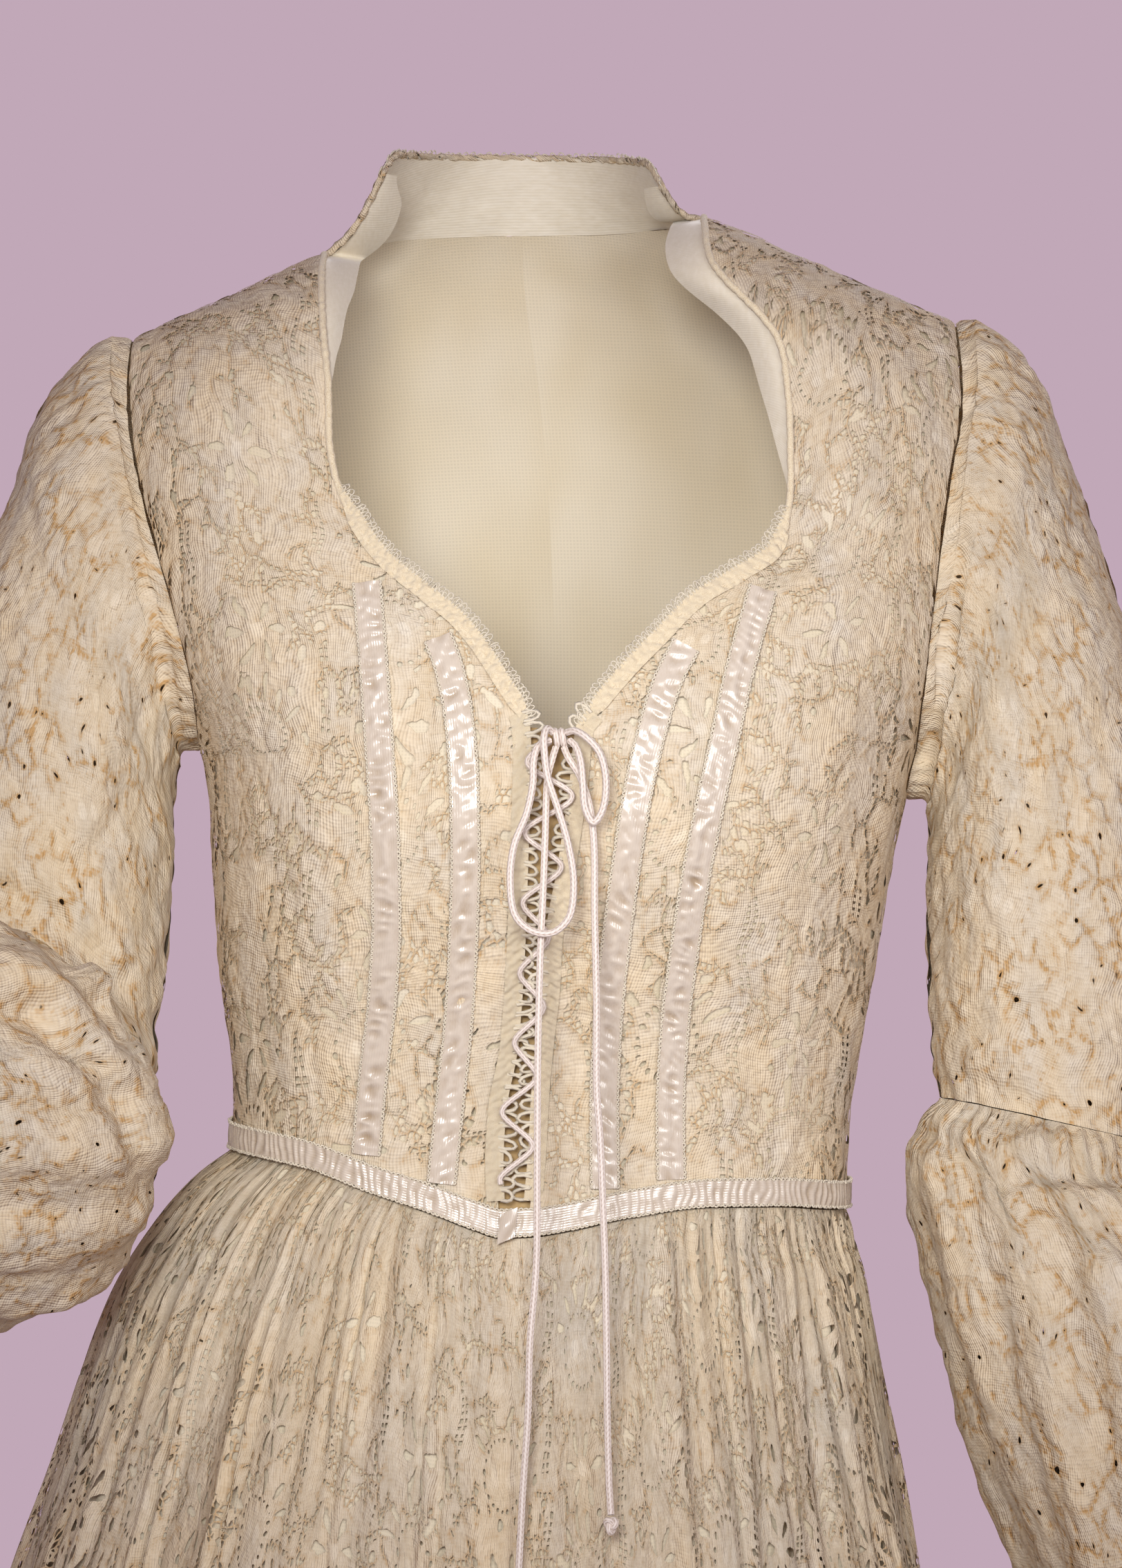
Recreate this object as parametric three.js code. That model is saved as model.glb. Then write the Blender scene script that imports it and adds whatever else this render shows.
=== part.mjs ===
import * as THREE from 'three';

// A long-sleeved wedding dress of ecru cotton lace over a cotton lining, with a stand collar open at
// the front, a laced centre front, satin ribbons, puffed lower sleeves and a gathered floor-length
// skirt. It keeps the hollow shape that it has when worn.
// Millimetres, +Z up, the front faces -Y. The origin is on the body's middle line at shoulder level.

// Thickness of each cloth, and the gap left where two pieces are sewn together
const LINING = 1.0;
const LACE = 1.2;
const SATIN = 1.0;
const SEAM = 0.3;
// How far ribbons and bands stand off the lace, so that their straight facets clear its curve
const TRIM_GAP = 0.95;

// Layers, as distances out from the shape of the lining's outer face
const LACE_IN = 0.4;
const LACE_OUT = LACE_IN + LACE;
const TRIM_IN = LACE_OUT + TRIM_GAP;
const TRIM_OUT = TRIM_IN + SATIN;

// Main lengths
const HEM_Z = -1390;
const RIBBON_WIDTH = 9.7;
const WAIST_RIBBON = 9.5;
const CORD = 2.8;
const SHOULDER_ROLL = 62;
const UNDERARM = { left: -187, right: -206 };

// Roundness of the horizontal sections: 2 is an ellipse, more is fuller
const TORSO_ROUNDNESS = 2.35;
const SKIRT_ROUNDNESS = 2.15;

// Gathers of the skirt: small ones from the waist seam, and broad folds that open towards the hem
const GATHERS = 64;
const BROAD_FOLDS = 11;

const COTTON = { color: 0xe6dccb, roughness: 0.9, metalness: 0 };
const ECRU_LACE = { color: 0xdccdb4, roughness: 0.92, metalness: 0 };
const CREAM_SATIN = { color: 0xeadbcb, roughness: 0.35, metalness: 0 };
const EDGING = { color: 0xe5dcc8, roughness: 0.9, metalness: 0 };
const BRAID = { color: 0xe3d3c6, roughness: 0.6, metalness: 0 };
const UNDERLAY = { color: 0xb99a6b, roughness: 0.9, metalness: 0 };

// Body sections from shoulder to waist: height, the widest points left and right, the middle line,
// the front and back faces, and the side seam
const TORSO = table(['z', 'left', 'right', 'middle', 'front', 'back', 'side'], [
  [-378, -127, 119.5, -13, -88, 82, -4],
  [-350, -123.5, 120, -10, -87, 78, -5],
  [-325, -122.5, 121.5, -8, -89, 74, -6],
  [-297, -124.5, 126, -6, -94, 73, -7],
  [-270, -128.5, 131, -4, -103, 76, -7],
  [-235, -130.5, 136.5, -1, -115, 82, -6],
  [-207, -132, 142.5, 2, -120, 87, -4],
  [-187, -135.5, 147, 4, -119, 90, -2],
  [-150, -150, 160, 4, -110, 94, 0],
  [-109, -163, 168, 3, -96, 95, 3],
  [-60, -173, 176, 0, -80, 92, 8],
  [-20, -177, 179, -4, -68, 85, 13],
  [35, -177, 179, -9, -58, 74, 18],
]);

// Edges of the two fronts, from the collar down the neckline and the laced opening to the waist
const FRONT_EDGE_LEFT = table(['z', 'x'], [
  [-380, -16], [-345, -18], [-325, -17], [-298, -12.2], [-260, -9.5], [-219, -8], [-190, -7],
  [-177, -7.6], [-159.5, -16.8], [-138, -32], [-127, -45], [-113, -61.6], [-100.5, -71],
  [-81, -80], [-64, -83], [-46, -83.5], [-20, -85], [0, -85.5], [14, -88],
]);
const FRONT_EDGE_RIGHT = table(['z', 'x'], [
  [-380, -7], [-340, -3.2], [-317, -2], [-298, -0.3], [-275, 2.2], [-259, 3], [-230, 8],
  [-200, 12.5], [-178, 15], [-170.5, 20.8], [-157, 32], [-144, 44.6], [-128.6, 60], [-120, 74],
  [-109, 89.5], [-98, 93.5], [-81, 95.7], [-60, 95.7], [-39, 94.3], [-25, 92], [-13.5, 87.8],
  [-3.8, 80.8], [6, 71], [18, 64.5], [29, 64],
]);

// Armhole seams, down to the underarm
const ARMHOLE_LEFT = table(['z', 'x'], [
  [-187, -135.5], [-178, -136], [-165, -137], [-137, -142.7], [-109, -150.5], [-90, -156],
  [-71, -160], [-53, -162.4], [-32, -165], [-20, -164],
]);
const ARMHOLE_RIGHT = table(['z', 'x'], [
  [-206, 142.7], [-196, 144], [-185, 146.5], [-168, 148], [-151, 150], [-127, 152.4],
  [-109, 154.5], [-85, 158], [-70, 160.5], [-53, 164], [-32, 166], [-14, 164],
]);

// Waist seam at the front, pointed at the middle
const WAIST_FRONT = table(['x', 'z'], [
  [-133, -341], [-94, -346.5], [-66, -356], [-45, -362.5], [-24, -370], [-15, -372.5], [-2, -372],
  [11, -370], [35, -365], [64, -361.5], [90, -362], [121, -366],
]);
const WAIST_BACK = table(['x', 'z'], [[-133, -341], [-60, -349], [0, -356], [60, -361], [121, -366]]);

// How far the skirt stands out from the waist on each side, by the drop below the waist seam,
// with the depth of the small gathers and of the broad folds
const FLARE = table(['drop', 'left', 'right', 'front', 'back', 'gather', 'fold'], [
  [0, 0, 0, 0, 0, 0.5, 0],
  [12, 15, 2, 6, 8, 1.7, 0.2],
  [27, 28, 7, 12, 15, 2.3, 0.5],
  [56, 46, 13, 22, 25, 2.8, 1],
  [84, 57, 18, 31, 33, 3.1, 1.6],
  [123, 70, 25, 42, 43, 3.4, 2.4],
  [164, 84, 33, 52, 52, 3.8, 3.4],
  [260, 112, 54, 77, 74, 4.6, 5.5],
  [460, 156, 95, 118, 112, 6, 9],
  [660, 186, 128, 150, 144, 7.2, 12],
  [860, 208, 152, 174, 168, 8, 14.5],
  [1055, 226, 172, 192, 186, 8.5, 16],
]);
const SKIRT_ROWS = [0, 0.013, 0.05, 0.13, 0.3, 0.62, 1];

// Centre lines of the four satin ribbons on the front
const RIBBON_PATHS = {
  ribbon_outer_left: table(['z', 'x'], [
    [-341.5, -67.8], [-306, -65], [-291, -60.5], [-256, -58.6], [-221, -59.5], [-186, -61.6],
    [-162, -63.5], [-121.5, -67.2],
  ]),
  ribbon_inner_left: table(['z', 'x'], [
    [-352.4, -39], [-315, -35], [-295, -31.8], [-270, -30.4], [-235, -29.5], [-200, -29],
    [-172, -32], [-155, -35], [-143, -40],
  ]),
  ribbon_inner_right: table(['z', 'x'], [
    [-354.3, 23.5], [-304, 23.5], [-284, 24.9], [-256, 28], [-228, 31.5], [-200, 36], [-179, 41],
    [-159.5, 47.3], [-146, 54.2],
  ]),
  ribbon_outer_right: table(['z', 'x'], [
    [-351, 48.8], [-304, 48.6], [-284, 50.8], [-256, 54.3], [-232, 57.8], [-207, 62.7],
    [-182, 68.4], [-155, 74.6], [-124, 83.8],
  ]),
};

// Sleeve rings from the armhole to the wrist. Each row gives the point of the ring that starts at
// the shoulder tip (outer), the one that starts at the underarm (inner), and the half depth between.
const SLEEVE_COLUMNS = [
  'station', 'outerX', 'outerY', 'outerZ', 'innerX', 'innerY', 'innerZ', 'depth',
];
const SLEEVE_LEFT = table(SLEEVE_COLUMNS, [
  [1, -172, 8, -18, -141, -2, -187, 50],
  [2, -187, 7, -30, -143.5, -3, -191.5, 52],
  [3, -202, 5, -50, -145, -4, -199, 53],
  [4, -214, 3, -80, -146, -5, -210, 54],
  [5, -228, 0, -120, -147, -7, -226, 54],
  [6, -240, -3, -165, -149, -9, -246, 53],
  [7, -249, -6, -210, -151, -12, -270, 52],
  [8, -253, -10, -252, -152, -18, -292, 50],
  [9, -252, -16, -280, -152, -26, -306, 49],
  [10, -248, -22, -298, -154, -36, -316, 47],
  [11, -256, -34, -300, -147, -68, -340, 60],
  [12, -266, -52, -288, -151, -116, -364, 76],
  [13, -289, -77, -286, -168, -149, -370, 82],
  [14, -315, -103, -287, -194, -175, -371, 82],
  [15, -341, -129, -291, -227, -197, -369, 77],
  [16, -359, -157, -298, -265, -213, -364, 64],
  [17, -369, -183, -310, -301, -223, -356, 46],
  [18, -374, -198, -316, -322, -228, -352, 34],
  [19, -406, -225, -320, -361, -252, -353, 31],
]);
const SLEEVE_RIGHT = table(SLEEVE_COLUMNS, [
  [1, 172, 8, -11, 148.5, -2, -206, 50],
  [2, 187, 7, -23, 151, -3, -210, 52],
  [3, 200, 6, -41, 152, -4, -215, 53],
  [4, 213, 4, -78, 152.5, -5, -223, 54],
  [5, 227, 2, -118, 153, -7, -234, 54],
  [6, 240, 0, -165, 153.3, -8, -249, 53],
  [7, 248, -3, -215, 153.5, -10, -269, 52],
  [8, 251, -6, -265, 153.5, -12, -293, 50],
  [9, 250, -8, -312, 154, -14, -312, 48],
  [10, 249, -10, -344, 157, -14, -323, 47],
  [11, 262, -10, -353, 147.5, -14, -334, 58],
  [12, 283, -12, -378, 144, -16, -354, 72],
  [13, 300, -16, -415, 150, -20, -380, 80],
  [14, 313, -20, -455, 157, -24, -414, 84],
  [15, 320, -24, -495, 167, -28, -456, 84],
  [16, 318, -28, -535, 183, -32, -500, 76],
  [17, 303, -32, -570, 206, -36, -546, 56],
  [18, 292, -35, -592, 227, -39, -580, 34],
  [19, 302, -44, -638, 241, -47, -627, 31],
]);
const UPPER_STATIONS = [0, 1, 2, 3, 4, 5.5, 7, 8.5, 10];
const LOWER_STATIONS = [10, 10.7, 11.6, 12.8, 14.2, 15.6, 17, 18];

// Routes of the cord, chosen by hand: the two tails and the two loops of the bow
const TAIL_LEFT_ROUTE = [
  [4.8, -127.2, -184.8], [3.6, -129.8, -188.6], [1.8, -131, -196], [0.8, -131, -219],
  [0, -131, -240], [-1, -130.8, -262], [-1.9, -130.6, -298], [-2.2, -130.5, -340],
  [-2.6, -130.5, -381], [-4.9, -130.6, -409], [-5.7, -131, -437], [-7.6, -133.4, -465],
  [-9, -140, -492], [-10.5, -146.5, -515], [-12, -153.5, -540], [-13, -160, -562],
];
const TAIL_RIGHT_ROUTE = [
  [8, -127.2, -184.8], [9.6, -129.8, -188.6], [13.6, -131, -195], [17.4, -131, -206],
  [19.2, -131, -220], [19.5, -131, -247], [20.2, -130.8, -280], [20.3, -130.6, -314],
  [21.6, -130.5, -333], [22.7, -130.5, -360], [23.5, -130.5, -381], [24, -130.6, -410],
  [24.3, -131, -437], [24.9, -133.6, -462], [25.6, -137, -474],
];
const LOOP_LEFT_ROUTE = [
  [3.6, -128.4, -178.9], [1.6, -131.2, -177.6], [0.4, -134, -180.5], [0.6, -135.2, -187],
  [1.8, -135.2, -196], [5.7, -135.2, -208], [9.7, -135.2, -222], [11.6, -135.2, -236],
  [9.7, -135.2, -249], [3.5, -135.2, -254.6], [-4, -135.2, -254], [-10.3, -135.2, -248.4],
  [-12.4, -135.2, -236], [-11, -135.2, -222], [-6, -135.2, -209], [-3.8, -135, -198],
  [-3.6, -134.2, -190], [-2.2, -132, -184.8], [0, -130, -182.8], [2.7, -128.4, -182],
];
const LOOP_RIGHT_ROUTE = [
  [9.2, -128.4, -178.9], [12, -131.4, -178.4], [16.5, -134.6, -181], [21.5, -135.2, -187],
  [23.8, -135.2, -198], [22.2, -135.2, -209], [19, -135.2, -213], [16, -135.2, -208],
  [15, -135, -198], [14.2, -133.5, -190], [12.4, -130.8, -184.4], [10.1, -128.4, -182],
];
const BOW_KNOT = { x: 6.4, y: -126.2, z: -181, width: 8.2, depth: 6.2, height: 7.4 };
const END_KNOT = { width: 6, height: 7 };

const dress = new THREE.Group();

function table(columns, rows) {
  const lists = {};
  columns.forEach((column, place) => {
    lists[column] = rows.map((row) => row[place]);
  });
  return { keys: lists[columns[0]], lists };
}

// The value of a table's column at a key, on a smooth line that never overshoots the rows
function along(rows, column, key) {
  const { keys } = rows;
  const values = rows.lists[column];
  const last = keys.length - 1;
  if (key <= keys[0]) return values[0];
  if (key >= keys[last]) return values[last];
  let at = 0;
  while (keys[at + 1] < key) at += 1;
  const slope = (k) => (values[k + 1] - values[k]) / (keys[k + 1] - keys[k]);
  const bend = (k) => {
    if (k === 0) return slope(0);
    if (k === last) return slope(last - 1);
    const before = slope(k - 1);
    const after = slope(k);
    return before * after <= 0 ? 0 : (2 * before * after) / (before + after);
  };
  const step = keys[at + 1] - keys[at];
  const t = (key - keys[at]) / step;
  const rise = values[at + 1] - values[at];
  const a = bend(at) * step;
  const b = bend(at + 1) * step;
  return values[at] + t * (a + t * (3 * rise - 2 * a - b + t * (a + b - 2 * rise)));
}

function mix(from, to, share) {
  return from + (to - from) * share;
}

// Height of the waist seam below a point of the front or the back
function waistHeight(face, x) {
  return along(face === 'front' ? WAIST_FRONT : WAIST_BACK, 'z', x);
}

// Half width of the body on one side of the middle line, and its depth to the front or the back
function reach(side, face, z) {
  const middle = along(TORSO, 'middle', z);
  const seam = along(TORSO, 'side', z);
  return {
    middle,
    seam,
    width: Math.abs(along(TORSO, side, z) - middle),
    depth: along(TORSO, face, z) - seam,
  };
}

function sign(side) {
  return side === 'left' ? -1 : 1;
}

// A point of the body's shape at a given place across the front or back. roll is 0 on the
// shoulder seam and 1 from where the cloth hangs down.
function onBody(side, face, x, z, roll = 1) {
  const { middle, seam, width, depth } = reach(side, face, z);
  const across = Math.min(Math.abs(x - middle) / width, 1);
  const full = (1 - across ** TORSO_ROUNDNESS) ** (1 / TORSO_ROUNDNESS);
  return new THREE.Vector3(x, seam + depth * full * roll, z);
}

const NECK_POINT = { left: { x: -88, z: 14 }, right: { x: 64, z: 29 } };
const SHOULDER_TIP = { left: { x: -164, z: -20 }, right: { x: 164, z: -14 } };
const BACK_NECK = { x: -9, z: 27, roll: 0.93 };
// Share of the back panel's top edge that is neckline, from the centre back to the neck point
const BACK_NECK_SHARE = 0.46;

// The upper edge of a panel: the shoulder seam, and on the back the neckline too
function topEdge(side, face, u) {
  const neck = NECK_POINT[side];
  const tip = SHOULDER_TIP[side];
  if (face === 'front') {
    return { x: mix(neck.x, tip.x, u), z: mix(neck.z, tip.z, u), roll: 0 };
  }
  if (u > BACK_NECK_SHARE) {
    const share = (u - BACK_NECK_SHARE) / (1 - BACK_NECK_SHARE);
    return { x: mix(neck.x, tip.x, share), z: mix(neck.z, tip.z, share), roll: 0 };
  }
  const turn = (Math.PI / 2) * (u / BACK_NECK_SHARE);
  return {
    x: mix(BACK_NECK.x, neck.x, Math.sin(turn)),
    z: mix(neck.z, BACK_NECK.z, Math.cos(turn)),
    roll: BACK_NECK.roll * Math.cos(turn),
  };
}

// Where the panel's inner edge and its armhole or side seam lie at a height
function panelEdges(side, face, z) {
  const { middle, width } = reach(side, face, z);
  const edge = side === 'left' ? FRONT_EDGE_LEFT : FRONT_EDGE_RIGHT;
  const armhole = side === 'left' ? ARMHOLE_LEFT : ARMHOLE_RIGHT;
  const outer = z > UNDERARM[side] ? along(armhole, 'x', z) : middle + sign(side) * width;
  return { inner: face === 'front' ? along(edge, 'x', z) : middle, outer };
}

// A bodice panel: u runs from the middle to the side, v from the shoulder to the waist
function bodicePanel(side, face) {
  const power = 2 / TORSO_ROUNDNESS;
  const turnAt = (x, middle, width) => {
    const across = ((x - middle) * sign(side)) / width;
    const size = Math.asin(Math.min(Math.abs(across), 1) ** (1 / power));
    return across < 0 ? -size : size;
  };
  const placeAt = (u, z) => {
    const { middle, width } = reach(side, face, z);
    const { inner, outer } = panelEdges(side, face, z);
    const turn = mix(turnAt(inner, middle, width), turnAt(outer, middle, width), u);
    const across = Math.sign(turn) * Math.abs(Math.sin(turn)) ** power;
    return middle + sign(side) * width * across;
  };
  return (u, v) => {
    const top = topEdge(side, face, u);
    const floor = waistHeight(face, placeAt(u, -355)) + SEAM / 2;
    const z = mix(top.z, floor, v);
    const settled = Math.min((top.z - z) / 60, 1);
    const x = mix(top.x, placeAt(u, z), settled * settled * (3 - 2 * settled));
    const start = 1 - Math.sqrt(1 - top.roll ** 2);
    const turned = 1 - Math.min(start + (top.z - z) / SHOULDER_ROLL, 1);
    const point = onBody(side, face, x, z, Math.sqrt(1 - turned * turned));
    const core = new THREE.Vector3(x * 0.6, 8, Math.min(z, -45));
    return { point, core };
  };
}

// A closed wall of cloth on a surface. surface(u, v) gives a point and a place on the hollow side.
// inner and outer are the wall's faces, as distances out from the surface.
function wall(name, cloth, surface, { us, vs, inner, outer, ring = false, hole = null }) {
  const place = (u, v) => surface(Math.min(Math.max(u, 0), 1), Math.min(Math.max(v, 0), 1));
  const nudge = 5e-4;
  const drop = 2e-3;
  const across = us.length;
  const samples = vs.flatMap((v) => us.map((u) => {
    const { point, core } = place(u, v);
    const alongU = place(u + nudge, v).point.sub(place(u - nudge, v).point);
    const alongV = place(u, v + drop).point.sub(place(u, v - drop).point);
    const normal = alongU.cross(alongV).normalize();
    return { point, normal, facing: Math.sign(normal.dot(point.clone().sub(core))) };
  }));
  const flipped = Math.sign(samples.reduce((sum, sample) => sum + sample.facing, 0));
  const points = samples.map(({ point, normal }) => ({
    out: point.clone().addScaledVector(normal, flipped * outer),
    in: point.clone().addScaledVector(normal, flipped * inner),
  }));
  const positions = [];
  const triangles = [];
  const add = (vector) => {
    positions.push(vector.x, vector.y, vector.z);
    return positions.length / 3 - 1;
  };
  const outs = points.map((pair) => add(pair.out));
  const ins = points.map((pair) => add(pair.in));
  const triangle = (a, b, c) => {
    if (flipped > 0) triangles.push(a, b, c);
    else triangles.push(a, c, b);
  };
  const quad = (a, b, c, d) => {
    triangle(a, b, c);
    triangle(a, c, d);
  };
  const columns = ring ? across : across - 1;
  const at = (i, j) => j * across + (i % across);
  const edges = [[0, 0], [1, 0], [1, 1], [0, 1]];
  for (let j = 0; j < vs.length - 1; j += 1) {
    for (let i = 0; i < columns; i += 1) {
      const corners = edges.map(([di, dj]) => at(i + di, j + dj));
      if (hole && hole(i, j)) {
        cutHole(corners);
      } else {
        quad(...corners.map((corner) => outs[corner]));
        const [a, b, c, d] = corners.map((corner) => ins[corner]);
        quad(a, d, c, b);
      }
    }
  }

  // A six-sided hole through one cell: its rim is joined to the cell's corners on both faces
  function cutHole(corners) {
    const [p00, p10, p11, p01] = corners.map((corner) => points[corner].out);
    const halfAcross = Math.min(HOLE_WIDTH / 2 / p00.distanceTo(p10), 0.38);
    const halfAlong = Math.min(HOLE_LENGTH / 2 / p00.distanceTo(p01), 0.4);
    const rim = [];
    for (let k = 0; k < 6; k += 1) {
      const angle = (-Math.PI * 5) / 6 + (k * Math.PI) / 3;
      rim.push([0.5 + halfAcross * Math.cos(angle), 0.5 + halfAlong * Math.sin(angle)]);
    }
    const onCell = (face, s, t) => {
      const [a, b, c, d] = corners.map((corner) => points[corner][face]);
      const beside = s > t ? b : d;
      const share = s > t ? [s - t, t] : [t - s, s];
      return a.clone().addScaledVector(beside.clone().sub(a), share[0])
        .addScaledVector(c.clone().sub(a), share[1]);
    };
    const rimOut = rim.map(([s, t]) => add(onCell('out', s, t)));
    const rimIn = rim.map(([s, t]) => add(onCell('in', s, t)));
    // Rim points by the corner that they are joined to: two beside each long side
    const fan = (face, points6, turn) => {
      const corner = corners.map((index) => face[index]);
      const draw = (a, b, c) => (turn ? triangle(a, b, c) : triangle(a, c, b));
      draw(corner[0], corner[1], points6[1]);
      draw(corner[0], points6[1], points6[0]);
      draw(corner[1], points6[2], points6[1]);
      draw(corner[1], points6[3], points6[2]);
      draw(corner[1], corner[2], points6[3]);
      draw(corner[2], points6[4], points6[3]);
      draw(corner[2], corner[3], points6[4]);
      draw(corner[3], points6[5], points6[4]);
      draw(corner[3], points6[0], points6[5]);
      draw(corner[3], corner[0], points6[0]);
    };
    fan(outs, rimOut, true);
    fan(ins, rimIn, false);
    for (let k = 0; k < 6; k += 1) {
      const next = (k + 1) % 6;
      quad(rimOut[k], rimOut[next], rimIn[next], rimIn[k]);
    }
  }

  const lastRow = vs.length - 1;
  for (let i = 0; i < columns; i += 1) {
    const start = at(i, 0);
    const startNext = at(i + 1, 0);
    const end = at(i, lastRow);
    const endNext = at(i + 1, lastRow);
    quad(outs[startNext], outs[start], ins[start], ins[startNext]);
    quad(outs[end], outs[endNext], ins[endNext], ins[end]);
  }
  if (!ring) {
    for (let j = 0; j < lastRow; j += 1) {
      const left = at(0, j);
      const leftNext = at(0, j + 1);
      const right = at(across - 1, j);
      const rightNext = at(across - 1, j + 1);
      quad(outs[left], outs[leftNext], ins[leftNext], ins[left]);
      quad(outs[rightNext], outs[right], ins[right], ins[rightNext]);
    }
  }
  const geometry = new THREE.BufferGeometry();
  geometry.setAttribute('position', new THREE.Float32BufferAttribute(positions, 3));
  geometry.setIndex(triangles);
  addPiece(name, cloth, geometry);
}

// Size of the largest gaps in the lace
const HOLE_WIDTH = 4.6;
const HOLE_LENGTH = 8.5;

function addPiece(name, cloth, geometry) {
  geometry.computeVertexNormals();
  const mesh = new THREE.Mesh(geometry, new THREE.MeshStandardMaterial(cloth));
  mesh.name = name;
  dress.add(mesh);
}

// Even steps from one share to another
function steps(count, from = 0, to = 1) {
  return Array.from({ length: count + 1 }, (_, k) => mix(from, to, k / count));
}

// Shares that leave a seam's gap at both ends
function seamed(shares, gap = 0.0016) {
  return shares.map((share) => Math.min(Math.max(share, gap), 1 - gap));
}

const SIDES = ['left', 'right'];
const FACES = ['front', 'back'];
const PANEL_US = {
  front: seamed(steps(7)),
  back: seamed([0, 0.115, 0.23, 0.345, BACK_NECK_SHARE, 0.64, 0.82, 1]),
};
// Rows of a panel: close together over the shoulder, with one at the underarm
const SHOULDER_ROWS = [0.00001, 0.012, 0.05, 0.12, 0.22, 0.36, 0.52, 0.69, 0.85];

function panelRows(side) {
  const tip = SHOULDER_TIP[side].z;
  const waist = waistHeight('front', along(TORSO, side, -355));
  const underarm = (tip - UNDERARM[side]) / (tip - waist);
  return [...SHOULDER_ROWS.map((share) => share * underarm), ...steps(5, underarm, 1)];
}

// The straight runs between given points of a curve, which pieces that meet there share
function straightRuns(points, shares, at) {
  let k = 0;
  while (k < shares.length - 2 && shares[k + 1] < at) k += 1;
  const share = (at - shares[k]) / (shares[k + 1] - shares[k]);
  return points[k].clone().lerp(points[k + 1], Math.min(Math.max(share, 0), 1));
}

for (const side of SIDES) {
  for (const face of FACES) {
    const panel = bodicePanel(side, face);
    const us = PANEL_US[face];
    const vs = panelRows(side);
    wall(`bodice_lining_${face}_${side}`, COTTON, panel, { us, vs, inner: -LINING, outer: 0 });
    wall(`bodice_lace_${face}_${side}`, ECRU_LACE, panel, {
      us,
      vs,
      inner: LACE_IN,
      outer: LACE_OUT,
      hole: (i, j) => j > 4 && j < 13 && i > 0 && i < 6 && (3 * i + 5 * j) % 7 === 0,
    });
  }
}

// Stand collar round the back and sides of the neck, on the neckline of the back panels
const COLLAR_TOP = { left: -61, right: 43.5, middle: -9, leftZ: 53, rightZ: 48, backZ: 58, back: 66, front: -4 };

function collar(u, v) {
  const side = u < 0.5 ? 'left' : 'right';
  const fromBack = Math.abs(u - 0.5) * 2;
  const turn = (Math.PI / 2) * fromBack;
  const neck = PANEL_US.back.slice(0, 5);
  const seats = neck.map((share) => {
    const seat = topEdge(side, 'back', share);
    return onBody(side, 'back', seat.x, seat.z, seat.roll);
  });
  const base = straightRuns(seats, neck, fromBack * BACK_NECK_SHARE);
  const end = side === 'left' ? COLLAR_TOP.left : COLLAR_TOP.right;
  const endZ = side === 'left' ? COLLAR_TOP.leftZ : COLLAR_TOP.rightZ;
  const top = new THREE.Vector3(
    mix(COLLAR_TOP.middle, end, Math.sin(turn)),
    mix(COLLAR_TOP.front, COLLAR_TOP.back, Math.cos(turn)),
    mix(endZ, COLLAR_TOP.backZ, Math.cos(turn)),
  );
  const lift = mix(0.035, 1, v);
  const point = base.clone().lerp(top, lift);
  // The stand leans in quickly above the seam and then rises
  point.z -= 7 * Math.sin(Math.PI * lift) * (1 - 0.6 * Math.cos(turn));
  return { point, core: new THREE.Vector3(COLLAR_TOP.middle, 22, point.z - 6) };
}
wall('collar_lace', ECRU_LACE, collar, { us: steps(14), vs: steps(3), inner: 0, outer: LACE });
wall('collar_facing', COTTON, collar,
  { us: steps(14), vs: steps(3), inner: -LINING - SEAM, outer: -SEAM });

// A strip that lies on the front: path gives its centre line, u runs across and v down
function frontStrip(path, width, fromZ, toZ, shift = 0) {
  const { keys } = path;
  return (u, v) => {
    const z = mix(fromZ, toZ, v);
    const x = along(path, 'x', z);
    const inside = Math.min(Math.max(z, keys[0] + 2), keys[keys.length - 1] - 2);
    const lean = (along(path, 'x', inside + 1) - along(path, 'x', inside - 1)) / 2;
    const size = Math.hypot(1, lean);
    const off = shift + (u - 0.5) * width;
    const px = x + off / size;
    const pz = z - (off * lean) / size;
    const side = px < along(TORSO, 'middle', pz) ? 'left' : 'right';
    return { point: onBody(side, 'front', px, pz), core: new THREE.Vector3(px * 0.6, 0, pz) };
  };
}

for (const [name, path] of Object.entries(RIBBON_PATHS)) {
  const { keys } = path;
  const ribbon = frontStrip(path, RIBBON_WIDTH, keys[keys.length - 1], keys[0]);
  wall(name, CREAM_SATIN, ribbon, { us: steps(1), vs: [0, ...steps(11, 0.04)], inner: TRIM_IN, outer: TRIM_OUT });
}

// Narrow edging along the lower curve of the neckline, half of it over the lace
const EDGING_WIDTH = 6.5;
wall('neck_edging_left', EDGING, frontStrip(FRONT_EDGE_LEFT, EDGING_WIDTH, -84, -174, 1),
  { us: steps(1), vs: steps(10), inner: TRIM_IN, outer: TRIM_OUT });
wall('neck_edging_right', EDGING, frontStrip(FRONT_EDGE_RIGHT, EDGING_WIDTH, -92, -174, -1),
  { us: steps(1), vs: steps(10), inner: TRIM_IN, outer: TRIM_OUT });

// Looped lace bands down both edges of the laced opening
const BAND_WIDTH = 7;
wall('lacing_band_left', EDGING, frontStrip(FRONT_EDGE_LEFT, BAND_WIDTH, -179.5, -359, -0.8),
  { us: steps(1), vs: steps(10), inner: TRIM_IN, outer: TRIM_OUT });
wall('lacing_band_right', EDGING, frontStrip(FRONT_EDGE_RIGHT, BAND_WIDTH, -179.5, -359, 0.8),
  { us: steps(1), vs: steps(10), inner: TRIM_IN, outer: TRIM_OUT });

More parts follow.
